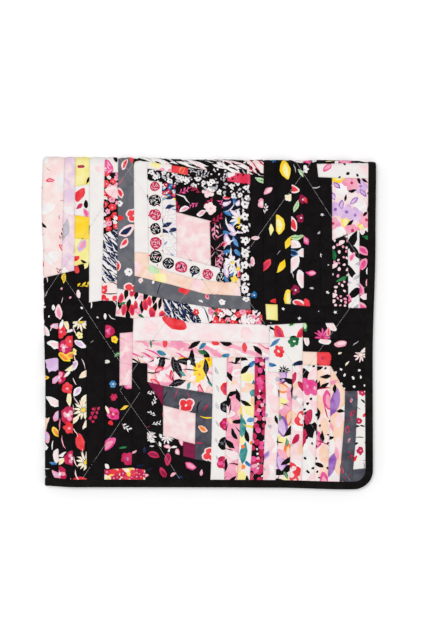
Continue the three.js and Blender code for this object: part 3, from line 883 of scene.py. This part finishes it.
      (petal, 22, "peach", 38), (leaf, 26, "black", 34), (dot, 9, "orange", 50),
      (stroke, 30, "yellow", 44)]),
    ("berry_strip", "black",
     [(255, 357.5), (265, 357.5), (266, 400), (262.8, LOW), (249.5, LOW), (254.5, 410)],
     [(dot, 13, "crimson", 13), (dot, 11, "hot_pink", 19), (dot, 8, "pink", 24), (dot, 4, "white", 22)]),
    ("pale_pink_strip", "pink_wash",
     [(265, 357.5), (269, 357.5), (269, 372.5), (280, 372.5), (275.5, LOW), (262.8, LOW), (266, 400)],
     [(brush, 44, "white", (32, 1.4)), (petal, 34, "pale_pink", 36), (leaf, 17, "black", 42),
      (splash, 9, "grey", 36), (petal, 24, "lilac purple", 50)]),
    ("orange_bloom_strip", "pale_pink",
     [(280, 372.5), (292.6, 372.5), (289.5, LOW), (275.5, LOW), (279, 420)],
     [(petal, 40, "orange peach", 44), (petal, 32, "pale_yellow", 42),
      (petal, 46, "purple lilac", (44, 1.2)), (petal, 30, "pink", 36), (leaf, 34, "black", 29),
      (leaf, 18, "green pale_green", 46), (stroke, 22, "black", 32)]),
    ("red_bloom_strip", "pink_wash",
     [(292.6, 366), (302.8, 365), (303.5, 420), (302, LOW), (289.5, LOW), (291.5, 420)],
     [(petal, 42, "pale_pink white", 34), (petal, 26, "peach", 42),
      (poppy, 32, "red pale_pink white", 42), (petal, 26, "crimson", 42), (splash, 10, "grey", 46)]),
    ("crimson_petal_strip", "white",
     [(302.8, 365), (317.3, 365.5), (317.5, 420), (314.5, LOW), (302, LOW), (303.5, 420)],
     [(block, 29, "black", 50), (petal, 36, "pale_pink", 36), (petal, 36, "crimson", (56, 1.6)),
      (blossom, 36, "hot_pink pink", 52), (petal, 24, "white", 36), (splash, 7, "black", 20)]),
    ("pink_mark_strip", "pale_pink",
     [(317.3, 365.5), (331, 366), (328, LOW), (314.5, LOW), (317.5, 420)],
     [(petal, 42, "peach", (34, 1.4)), (petal, 40, "hot_pink pink", (44, 1.3)),
      (stroke, 34, "crimson", 44), (leaf, 24, "black", 28), (splash, 6, "black", 24)]),
    ("purple_leaf_strip", "white",
     [(331, 366), (345.4, 391), (344.8, 420), (339.5, LOW), (328, LOW), (330.5, 420)],
     [(petal, 62, "peach", (34, 1.5)), (petal, 34, "pale_pink", 40), (leaf, 52, "purple", (54, 1.4)),
      (leaf, 24, "pink", 40), (leaf, 20, "black", 44)]),
    ("charcoal_end_strip", "dark_charcoal",
     [(345.4, 391), (358, 391), (356, 440), (352, LOW), (339.5, LOW), (344.8, 420)],
     [(petal, 14, "crimson dark_charcoal", 30), (petal, 9, "pink crimson", 40), (dot, 3, "crimson", 22)]),
    ("white_end_strip", "white",
     [(358, 391), (FAR, 391), (FAR, 468), (353.5, 470), (358, 400)],
     [(blossom, 15, "crimson pink", 28), (stroke, 20, "charcoal", 24), (petal, 13, "red", 30),
      (leaf, 12, "black", 26)]),
    ("charcoal_corner_scrap", "dark_charcoal", [(353.5, 470), (FAR, 468), (FAR, LOW), (352, LOW)], []),
]

# Where the patchwork ends past the left fold, and where its two sides meet past the top one.
LEFT_UNDER, OVER_FOLD = -14.0, -60.0
UNDER_BINDING = 13.0
TUCKED = 0.15
# How near, in pixels, two corners are the same one, and a corner lies on a seam.
SAME_CORNER, ON_SEAM = 1.2, 0.9
CLIP_STEP = 4.0
TRIES = 9
SIZE_SPREAD, WAY_SPREAD = (0.88, 1.12), 0.07


def flat_place(x, y):
    """The place on the flat throw that shows at a pixel of the photograph."""
    x = (x - MIDDLE_PIXEL[0]) * PIXEL + folded_width / 2 + OFF_CENTRE[0]
    y = (y - MIDDLE_PIXEL[1]) * PIXEL + folded_length / 2 - OFF_CENTRE[1]
    across, down = x / folded_width, y / folded_length
    x = x - drift(LEFT_EDGE, down) * (1 - across) - drift(RIGHT_EDGE, down) * across
    y = y + drift(TOP_EDGE, across) * (1 - down) + drift(BOTTOM_EDGE, across) * down
    u = x + pair_bend - pair_radius - half_cloth
    v = y + stack_bend - stack_half
    return np.stack([u, v], axis=-1)


def meeting_corners(patches):
    """The patches' corners, with near ones brought together and seams shared end to end."""
    shared = []
    outlines = []
    for _, _, listed, _ in patches:
        corners = []
        for corner in np.array(listed, float):
            twins = [c for c in shared if math.dist(c, corner) < SAME_CORNER]
            if not twins:
                shared.append(corner)
            corners.append(twins[0] if twins else corner)
        outlines.append(corners)
    full = []
    for corners in outlines:
        points = []
        for a, b in zip(corners, corners[1:] + corners[:1]):
            length = math.dist(a, b)
            along = (b - a) / length
            inner = []
            for c in shared:
                at = float((c - a) @ along)
                off = abs(float((c - a) @ np.array([-along[1], along[0]])))
                if SAME_CORNER < at < length - SAME_CORNER and off < ON_SEAM:
                    inner.append((at, tuple(c)))
            points += [tuple(a)] + [c for _, c in sorted(inner)]
        full.append(np.array(points))
    return full


def in_steps(corners, step):
    """An outline with points about a step apart along each side."""
    points = []
    for a, b in zip(corners, np.roll(corners, -1, axis=0)):
        count = max(1, round(math.dist(a, b) / step))
        points.append(a + (b - a) * np.arange(count)[:, None] / count)
    return np.concatenate(points)


def area(shape):
    """The area in an outline, less than 0 where it runs the other way round."""
    return 0.5 * float(np.sum(np.cross(shape, np.roll(shape, -1, axis=0))))


def encloses(shape, points):
    """Which points lie within an outline."""
    within = np.zeros(len(points), bool)
    for a, b in zip(shape, np.roll(shape, -1, axis=0)):
        spans = (a[1] > points[:, 1]) != (b[1] > points[:, 1])
        drop = b[1] - a[1] if b[1] != a[1] else 1e-9
        within ^= spans & (points[:, 0] < (b[0] - a[0]) * (points[:, 1] - a[1]) / drop + a[0])
    return within


def scattered(shape, apart, dice, taken):
    """Places spread over a patch, each the furthest of a few tries from the ones taken."""
    low, high = shape.min(axis=0), shape.max(axis=0)
    places = []
    for _ in range(max(1, round(abs(area(shape)) / apart**2))):
        tries = np.array([[dice.uniform(low[i], high[i]) for i in (0, 1)] for _ in range(TRIES)])
        tries = tries[encloses(shape, tries)]
        if len(tries) == 0:
            continue
        others = taken + places
        if others:
            gaps = np.linalg.norm(tries[:, None] - np.array(others)[None], axis=-1).min(axis=1)
            places.append(tries[int(gaps.argmax())])
        else:
            places.append(tries[0])
    taken += places
    return [(place[0], place[1], dice.uniform(0, 2 * math.pi)) for place in places]


def printed_on(shape, rows, dice, thin):
    """The motifs of a print, in place on the flat throw, as outlines with their inks."""
    made = []
    taken = []
    for motif, size, inks, where in rows:
        if isinstance(where, list):
            spots = flat_place(*np.array(where, float)[:, :2].T)
            places = [(u, v, turn) for (u, v), (_, _, turn) in zip(spots, where)]
        elif isinstance(where, tuple):
            apart, way = where
            places = [(u, v, way + WAY_SPREAD * turn)
                      for u, v, turn in scattered(shape, apart * thin, dice, taken)]
        else:
            places = scattered(shape, where * thin, dice, taken)
        for u, v, turn in places:
            for outline, ink in motif(size * dice.uniform(*SIZE_SPREAD), inks.split(), dice):
                made.append((painted(turned(outline, turn) + np.array([u, v])), INKS[ink]))
    return made


def distances(points, others):
    """How far each flat place is from the nearest of the others."""
    tree = KDTree(len(others))
    for i, (u, v) in enumerate(others):
        tree.insert((u, v, 0.0), i)
    tree.balance()
    return np.array([tree.find((u, v, 0.0))[2] for u, v in points])


def waves(points, size, seed):
    """Smooth unevenness over flat places, from about -1 to 1."""
    return np.array([noise.noise((u / size, v / size, seed)) for u, v in points])


BRUSH_SWAY, BRUSH_WAVE = 2.2, 8


def painted(outline):
    """An outline with the unevenness of a brush."""
    lean = np.stack([waves(outline, BRUSH_WAVE, seed) for seed in (4.4, 8.8)], axis=-1)
    return outline + BRUSH_SWAY * lean


PILLOW, PILLOW_REACH, SEAM_DEPTH, SEAM_WIDTH = 0.9, 6, 0.9, 1.3
PUCKER, PUCKER_SIZE, PUCKER_REACH = 0.9, 9, 8
CREASE, CREASE_SIZE, CREASE_REACH, CREASE_STRETCH = 1.1, 8, 30, 0.35
SWELL, SWELL_SIZE = 0.7, 60


def patchwork_top(places, seam):
    """How high the patchwork stands over the cloth's middle, seam being the nearest one."""
    u, v = places[:, 0], places[:, 1]
    inset = edge_inset(u, v)
    inside = ease((inset - LIP) / PUFF_UP)
    line = to_quilting(u, v)
    sunk = SEAM_DEPTH * np.exp(-((seam / SEAM_WIDTH) ** 2))
    pillow = PILLOW * (1 - np.exp(-seam / PILLOW_REACH)) - sunk
    pucker = PUCKER * waves(places, PUCKER_SIZE, 3.1) * np.exp(-np.minimum(seam, line) / PUCKER_REACH)
    at_fold = np.exp(-np.abs(v) / CREASE_REACH)
    creased = waves(places * [1.0, CREASE_STRETCH], CREASE_SIZE, 7.7) * at_fold
    swell = pillow + pucker + SWELL * waves(places, SWELL_SIZE, 1.9) + CREASE * creased
    top = half_thickness(inset) + inside * (troughs(u, v) + swell)
    return np.maximum(top, backing_top(u, v) + TUCKED)


def clip_outline(side):
    """The edge of the patchwork that shows on a side, which runs on under the binding."""
    far = half - UNDER_BINDING
    radius = CORNER_RADIUS - UNDER_BINDING
    turn = np.linspace(0, math.pi / 2, 9)
    corner = far - radius + radius * np.stack([np.cos(turn), np.sin(turn)], -1)
    points = [(LEFT_UNDER, OVER_FOLD), (far, OVER_FOLD), *(corner * [1, side]), (LEFT_UNDER, side * far)]
    return in_steps(np.array(points, float), CLIP_STEP)


LEFT_FOLD, LEFT_FOLD_STEP = (-13, 12), 2.2
TOP_FOLD, TOP_FOLD_STEP, TOP_FOLD_CLEAR = 19, 2.4, 21
BESIDE_SEAM, CLEAR_OF_SEAM, CLEAR_OF_CLIP = 1.7, 1.2, 0.4
CLEAR_BELOW, CLEAR_ABOVE, CLEAR_SHARE = 1.5, 0.5, 0.6


def loose_points(side, outlines, step):
    """Points that carry the relief: a grid, and rows beside the seams."""
    far = half - UNDER_BINDING
    low, high = (OVER_FOLD, far) if side > 0 else (-far, OVER_FOLD)
    across = np.concatenate([
        np.arange(*LEFT_FOLD, LEFT_FOLD_STEP), np.arange(LEFT_FOLD[1] + step / 2, far, step)
    ])
    down = np.arange(low + CLEAR_BELOW, high - CLEAR_ABOVE, step)
    if side > 0:
        fold = np.arange(-TOP_FOLD, TOP_FOLD + 0.1, TOP_FOLD_STEP)
        down = np.concatenate([down[np.abs(down) > TOP_FOLD_CLEAR], fold])
    grid = np.stack(np.meshgrid(across, down, indexing="ij"), -1).reshape(-1, 2)
    seams = np.concatenate(outlines)
    grid = grid[distances(grid, seams) > step * CLEAR_SHARE]
    beside = []
    for shape in outlines:
        along = np.roll(shape, -1, axis=0) - np.roll(shape, 1, axis=0)
        along = along / np.maximum(np.linalg.norm(along, axis=1), 1e-9)[:, None]
        beside.append(shape + BESIDE_SEAM * np.stack([-along[:, 1], along[:, 0]], -1))
    beside = np.concatenate(beside)
    beside = beside[distances(beside, seams) > CLEAR_OF_SEAM]
    points = np.concatenate([grid, beside])
    keep = edge_inset(points[:, 0], points[:, 1]) > UNDER_BINDING + CLEAR_OF_CLIP
    keep &= points[:, 0] > LEFT_UNDER + CLEAR_OF_CLIP
    keep &= (points[:, 1] > low + CLEAR_OF_CLIP) & (points[:, 1] < high - CLEAR_OF_CLIP)
    return points[keep]


def within_rim(faces, rim_edges):
    """The faces that a rim encloses, without the slivers past its straight stretches."""
    rim = {frozenset(edge) for edge in rim_edges}
    beside = {}
    for i, face in enumerate(faces):
        for edge in zip(face, face[1:] + face[:1]):
            beside.setdefault(frozenset(edge), []).append(i)
    front = [held[0] for edge, held in beside.items() if len(held) == 1 and edge not in rim]
    outside = set()
    while front:
        i = front.pop()
        if i not in outside:
            outside.add(i)
            for edge in zip(faces[i], faces[i][1:] + faces[i][:1]):
                if frozenset(edge) not in rim:
                    front += beside[frozenset(edge)]
    return [face for i, face in enumerate(faces) if i not in outside]


CLEAR_OF_RIM = 2.5


def closed_below(rim_edges, places, shapes):
    """Triangles that close a patch underneath, from its rim and the wadding's own grid."""
    used = np.unique(rim_edges)
    order = {int(vertex): i for i, vertex in enumerate(used)}
    rim_places = places[used]
    low, high = rim_places.min(axis=0), rim_places.max(axis=0)
    inner = flat_places[((flat_places > low) & (flat_places < high)).all(axis=1)]
    within = np.zeros(len(inner), bool)
    for shape in shapes:
        within |= encloses(shape, inner)
    inner = inner[within]
    if len(inner):
        inner = inner[distances(inner, rim_places) > CLEAR_OF_RIM]
    points = [Vector(place) for place in np.concatenate([rim_places, inner]).tolist()]
    edges = [(order[int(a)], order[int(b)]) for a, b in rim_edges]
    result = delaunay_2d_cdt(points, edges, [], 1, 1e-6, True)
    first = [ids[0] for ids in result[3]]
    faces = [tuple(first[i] for i in face) for face in result[2]]
    return used, inner, within_rim(faces, edges)


def rim_of(triangles):
    """The edges that only one triangle has, each in its triangle's direction."""
    edges = np.concatenate([triangles[:, [0, 1]], triangles[:, [1, 2]], triangles[:, [2, 0]]])
    key = np.sort(edges, axis=1)
    _, first, counts = np.unique(key, axis=0, return_index=True, return_counts=True)
    return edges[first[counts == 1]]


def dyes(recipes):
    """The ink of each recipe, and the colour clouded over it, with its strength as alpha."""
    inks = np.array([shade(ink) for ink, _, _ in recipes])
    washes = np.array([(*shade(wash)[:3], strength) for _, wash, strength in recipes])
    return {"ink": inks, "wash": washes}


def pieced(shapes, count, motif_owner, clip, loose):
    """Cuts a side into triangles, and gives their places, their patches and their motifs."""
    points, outlines = [], []
    for shape in [clip] + shapes:
        outlines.append(list(range(len(points), len(points) + len(shape))))
        points += shape.tolist()
    points += loose.tolist()
    result = delaunay_2d_cdt([Vector(point) for point in points], [], outlines, 1, 1e-4, True)
    places = np.array([(point.x, point.y) for point in result[0]])
    kept, owner, mark = [], [], []
    for face, ids in zip(result[2], result[5]):
        if 0 in ids and len(face) == 3:
            holder = max((i - 1 for i in ids if 1 <= i <= count), default=-1)
            marks = [i - 1 - count for i in ids if i > count]
            kept.append(tuple(face))
            owner.append(holder)
            mark.append(max((i for i in marks if motif_owner[i] == holder), default=-1))
    triangles, owner = np.array(kept), np.array(owner)
    middles = places[triangles].mean(axis=1)
    tree = KDTree(len(middles))
    for i in np.flatnonzero(owner >= 0):
        tree.insert((*middles[i], 0.0), int(i))
    tree.balance()
    for i in np.flatnonzero(owner < 0):
        owner[i] = owner[tree.find((*middles[i], 0.0))[1]]
    return places, triangles, owner, np.array(mark)


GROUP_ACROSS, GROUP_DOWN = 160, 320
printed_lawn = cotton("printed lawn", cloud=48.0)
meeting = meeting_corners(PATCHES)
patch_dyes = dyes([CLOTHS[cloth] for _, cloth, _, _ in PATCHES])


def sewn_side(side, prefix, seam_step, grid_step, thin, seed, grouped):
    """Cuts, prints and sews one face of the throw, and gives its pieces and its seams.

    Its motifs lie thin times as far apart as the table says, and where it is grouped, all the
    patches of one part of it are one piece.
    """
    dice = random.Random(seed)
    outlines = [flat_place(*in_steps(corners, seam_step / PIXEL).T) for corners in meeting]
    motifs, motif_owner = [], []
    for i, (_, _, _, rows) in enumerate(PATCHES):
        made = printed_on(outlines[i], rows, dice, thin)
        motifs += made
        motif_owner += [i] * len(made)
    shapes = outlines + [outline for outline, _ in motifs]
    if side < 0:
        # The hidden side repeats the shown one, mirrored at the line where they meet.
        shapes = [np.stack([s[:, 0], 2 * OVER_FOLD - s[:, 1]], -1) for s in shapes]
    clip, *shapes = [s if area(s) > 0 else s[::-1] for s in [clip_outline(side)] + shapes]
    seams = shapes[: len(PATCHES)]
    loose = loose_points(side, seams, grid_step)
    places, triangles, owner, mark = pieced(shapes, len(PATCHES), motif_owner, clip, loose)
    present = [i for i in range(len(PATCHES)) if (owner == i).any()]
    seam_points = set()
    for i in present:
        seam_points.update(rim_of(triangles[owner == i]).ravel().tolist())
    seam_places = places[sorted(seam_points)]
    top = patchwork_top(places, distances(places, seam_places))
    motif_dyes = dyes([ink for _, ink in motifs])
    marked = (mark >= 0)[:, None]
    groups = {}
    for i in present:
        middle = places[triangles[owner == i]].mean(axis=1).mean(axis=0)
        cell = f"{int(middle[0] // GROUP_ACROSS)}_{int(abs(middle[1]) // GROUP_DOWN)}"
        groups.setdefault(cell if grouped else PATCHES[i][0], []).append(i)
    made = []
    for name, members in groups.items():
        mine = np.isin(owner, members)
        own = triangles[mine]
        rim_edges = rim_of(own)
        used, inner, below = closed_below(rim_edges, places, [seams[i] for i in members])
        vertices, local = np.unique(own, return_inverse=True)
        local = local.reshape(-1, 3)
        number = {int(vertex): i for i, vertex in enumerate(vertices)}
        first = len(vertices)
        rim_number = {int(vertex): first + i for i, vertex in enumerate(used)}
        low_places = np.concatenate([places[used], inner])
        low_w = backing_top(low_places[:, 0], low_places[:, 1]) - TUCKED
        faces = [(a, c, b) for a, b, c in local.tolist()]
        faces += [tuple(first + i for i in face) for face in below]
        for a, b in rim_edges.tolist():
            faces.append((number[a], number[b], rim_number[b], rim_number[a]))
        all_places = np.concatenate([places[vertices], low_places])
        heights = np.concatenate([top[vertices], low_w])
        points = lay(all_places[:, 0], all_places[:, 1], heights)
        piece = new_piece(prefix + name, points, faces, all_places, printed_lawn)
        rest = len(piece.data.loops) - 3 * len(local)
        for layer, colours in patch_dyes.items():
            shown = np.where(marked, motif_dyes[layer][mark], colours[owner])
            hidden = np.tile(colours[members[0]], (rest, 1))
            corners = np.concatenate([np.repeat(shown[mine], 3, axis=0), hidden])
            dyed = piece.data.attributes.new(layer, "FLOAT_COLOR", "CORNER")
            dyed.data.foreach_set("color", corners.astype(np.float32).ravel())
        made.append(piece)
    return made, seam_places


top_patches, top_seams = sewn_side(
    1, "", seam_step=2.0, grid_step=4.2, thin=1.0, seed=11, grouped=False
)
under_patches, under_seams = sewn_side(
    -1, "underside_", seam_step=4.0, grid_step=9.0, thin=1.35, seed=23, grouped=True
)


# The quilting thread is pale cotton. Each of its stitches is a short, thin strand that lies in
# the trough of the quilting, over the patchwork, and dips in at both ends.
STITCH_PITCH, STITCH_LENGTH, THREAD_RADIUS = 3.4, 3.1, 0.32
PAST_LEFT_FOLD = -8
STITCH_RINGS = [
    # how far along the stitch, its thickness, how high it stands
    (0.0, 0.7, -0.1),
    (0.25, 1.0, 0.12),
    (0.75, 1.0, 0.12),
    (1.0, 0.7, -0.1),
]


def quilting_stitches(name, side, seams, sides, material):
    """The stitches along the diamonds of one face, each a closed strand of a few sides."""
    far = half - LIP - 1
    low, high = (OVER_FOLD, far) if side > 0 else (-far, OVER_FOLD)
    starts, ends = [], []
    for column, row, left, up in product(range(-2, 3), range(-2, 3), (-1, 1), (-1, 1)):
        middle = np.array([column * DIAMOND_PITCH[0], row * DIAMOND_PITCH[1]])
        a = middle + [left * DIAMOND_HALF[0], 0]
        b = middle + [0, up * DIAMOND_HALF[1]]
        length = math.dist(a, b)
        at = np.arange(0, length - STITCH_LENGTH, STITCH_PITCH)[:, None] / length
        starts.append(a + (b - a) * at)
        ends.append(a + (b - a) * (at + STITCH_LENGTH / length))
    starts, ends = np.concatenate(starts), np.concatenate(ends)
    for line in (starts, ends):
        line[:, 0] -= sway(line[:, 0], line[:, 1])
    keep = (starts[:, 0] > PAST_LEFT_FOLD) & (starts[:, 1] > low) & (starts[:, 1] < high)
    for line in (starts, ends):
        keep &= edge_inset(line[:, 0], line[:, 1]) > LIP + 1
    starts, ends = starts[keep], ends[keep]
    along = (ends - starts) / np.linalg.norm(ends - starts, axis=1)[:, None]
    across = np.stack([-along[:, 1], along[:, 0]], -1)
    rings = []
    for at, thick, lift in STITCH_RINGS:
        middle = starts + (ends - starts) * at
        height = patchwork_top(middle, distances(middle, seams)) + lift
        for k in range(sides):
            turn = 2 * math.pi * k / sides
            places = middle + across * (THREAD_RADIUS * thick * math.cos(turn))
            rise = THREAD_RADIUS * thick * math.sin(turn)
            rings.append(lay(places[:, 0], places[:, 1], height + rise))
    points = np.stack(rings, axis=1)
    last = (len(STITCH_RINGS) - 1) * sides
    strand = [tuple(range(sides)), tuple(reversed(range(last, last + sides)))]
    for ring, k in product(range(len(STITCH_RINGS) - 1), range(sides)):
        a, b = ring * sides + k, ring * sides + (k + 1) % sides
        strand.append((a, a + sides, b + sides, b))
    per = points.shape[1]
    faces = [tuple(i * per + j for j in face) for i in range(len(points)) for face in strand]
    places = np.repeat(starts, per, axis=0)
    return new_piece(name, points.reshape(-1, 3), faces, places, material)


thread_cotton = cotton("pale quilting thread", ink="a5a0a3", cloud=60.0, weave=0.1)
threads = [
    quilting_stitches("quilting_thread", 1, top_seams, sides=6, material=thread_cotton),
    quilting_stitches(
        "underside_quilting_thread", -1, under_seams, sides=4, material=thread_cotton
    ),
]


# The binding is one strip of plain black cotton, folded over the raw edge of all the layers
# and sewn right round it. It is a little puffed between its sewn lips and its outer fold.
BINDING_SECTION = [
    # how far in from the edge, how high over the cloth's middle
    (15.0, 1.85),
    (14.6, 2.2),
    (13.4, 2.6),
    (11.0, 2.85),
    (7.5, 2.8),
    (4.0, 2.75),
    (2.0, 2.55),
    (0.8, 2.0),
    (0.15, 1.1),
    (0.0, 0.0),
]
SLOT_HALF, SLOT_END, SLOT_MIDDLE = 1.8, 0.75, 7.0
BINDING_STEP, PAST_BEND, CORNER_STEPS = 5.0, 4, 11
# How much the binding ripples, the size of the ripples, and their seed.
BINDING_RIPPLES = [(0.34, 14, 5.2), (0.3, 45, 9.4)]
RIPPLE_FROM_LIP = 3

upper = np.array(BINDING_SECTION)
lower = upper[-2::-1] * [1, -1]
slot = np.array([(BINDING_WIDTH, -SLOT_HALF), (SLOT_MIDDLE, -SLOT_HALF), (SLOT_END, -SLOT_HALF)])
section = np.concatenate([upper, lower, slot, slot[::-1] * [1, -1]])


def along_side(bend, bend_steps):
    """Places along one side of the throw, closer together at its fold."""
    far = np.arange(bend + PAST_BEND, flat_half, BINDING_STEP)
    return np.array(sorted([*np.linspace(-bend, bend, bend_steps), *-far, *far]))


runs = [along_side(stack_bend, bend_steps=15), along_side(pair_bend, bend_steps=9)]
stations, outs = [], []
for side in range(4):
    out = np.array([math.cos(side * math.pi / 2), math.sin(side * math.pi / 2)]).round(9)
    along = np.array([-out[1], out[0]])
    for at in runs[side % 2]:
        stations.append(out * half + along * at)
        outs.append(out)
    for turn in np.linspace(0, math.pi / 2, CORNER_STEPS):
        lean = out * math.cos(turn) + along * math.sin(turn)
        stations.append((out + along) * flat_half + lean * CORNER_RADIUS)
        outs.append(lean)
stations, outs = np.array(stations), np.array(outs)
count_s, count_p = len(stations), len(section)
insets = np.tile(section[:, 0], count_s)
heights = np.tile(section[:, 1], count_s)
places = np.repeat(stations, count_p, axis=0) - np.repeat(outs, count_p, axis=0) * insets[:, None]
outside = np.tile(np.arange(count_p) < len(upper) + len(lower), count_s)
ripple = sum(depth * waves(places, size, seed) for depth, size, seed in BINDING_RIPPLES)
puff = ease((BINDING_WIDTH - insets) / RIPPLE_FROM_LIP) * np.sign(heights)
heights = heights + np.where(outside, ripple * puff, 0.0)
binding_points = lay(places[:, 0], places[:, 1], heights)
binding_faces = []
for i, k in product(range(count_s), range(count_p)):
    j, m = (i + 1) % count_s, (k + 1) % count_p
    binding_faces.append((i * count_p + k, j * count_p + k, j * count_p + m, i * count_p + m))
binding_cotton = cotton("black binding cotton", ink="0e0c0a", cloud=40.0, weave=0.3)
binding = new_piece(
    "bound_edge", binding_points, binding_faces, places, binding_cotton
)
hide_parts("binding")

top_patches + under_patches + threads + [binding]


# The throw lies on a plain pale floor under two soft lights. The camera is straight above it,
# at the height where one pixel of the picture covers PIXEL millimetres of the throw's top.
FLOOR_SIZE, FLOOR_DROP, FLOOR_GREY, FLOOR_ROUGHNESS = 6.0, 0.0005, 0.97, 0.9
CAMERA_PIXEL = (213.5, 320.0)
PHOTO_HEIGHT = 640
LENS, SENSOR = 85.0, 36.0
SKY_STRENGTH = 0.46
LIGHTS = [
    # name, place, size in metres, power in watts
    ("key softbox", (-0.3, 0.3, 3.2), 1.0, 55.0),
    ("fill softbox", (0.6, -0.7, 3.2), 2.0, 17.0),
]

bpy.ops.object.select_all(action="DESELECT")
bpy.ops.mesh.primitive_plane_add(size=FLOOR_SIZE, location=(0.0, 0.0, -FLOOR_DROP))
floor = bpy.context.object
floor.name = "floor"
floor_paint = bpy.data.materials.new("pale floor")
floor_paint.use_nodes = True
paint = floor_paint.node_tree.nodes["Principled BSDF"]
paint.inputs["Base Color"].default_value = (FLOOR_GREY, FLOOR_GREY, FLOOR_GREY, 1)
paint.inputs["Roughness"].default_value = FLOOR_ROUGHNESS
floor.data.materials.append(floor_paint)

camera_data = bpy.data.cameras.new("camera")
camera_data.lens = LENS
camera_data.sensor_width = SENSOR
camera = bpy.data.objects.new("camera", camera_data)
bpy.context.collection.objects.link(camera)
reach = PHOTO_HEIGHT * PIXEL / 1000 * LENS / SENSOR
camera.location = (
    (CAMERA_PIXEL[0] - MIDDLE_PIXEL[0]) * PIXEL / 1000,
    (MIDDLE_PIXEL[1] - CAMERA_PIXEL[1]) * PIXEL / 1000,
    reach + cad_box[1][2],
)
bpy.context.scene.camera = camera

world = bpy.data.worlds.new("studio")
bpy.context.scene.world = world
world.use_nodes = True
sky = world.node_tree.nodes["Background"]
sky.inputs["Color"].default_value = (1, 1, 1, 1)
sky.inputs["Strength"].default_value = SKY_STRENGTH
for name, place, size, power in LIGHTS:
    light = bpy.data.lights.new(name, "AREA")
    light.size = size
    light.energy = power
    lamp = bpy.data.objects.new(name, light)
    bpy.context.collection.objects.link(lamp)
    lamp.location = place
    lamp.rotation_euler = (-Vector(place)).to_track_quat("-Z", "Y").to_euler()
bpy.context.scene.view_settings.view_transform = "Standard"
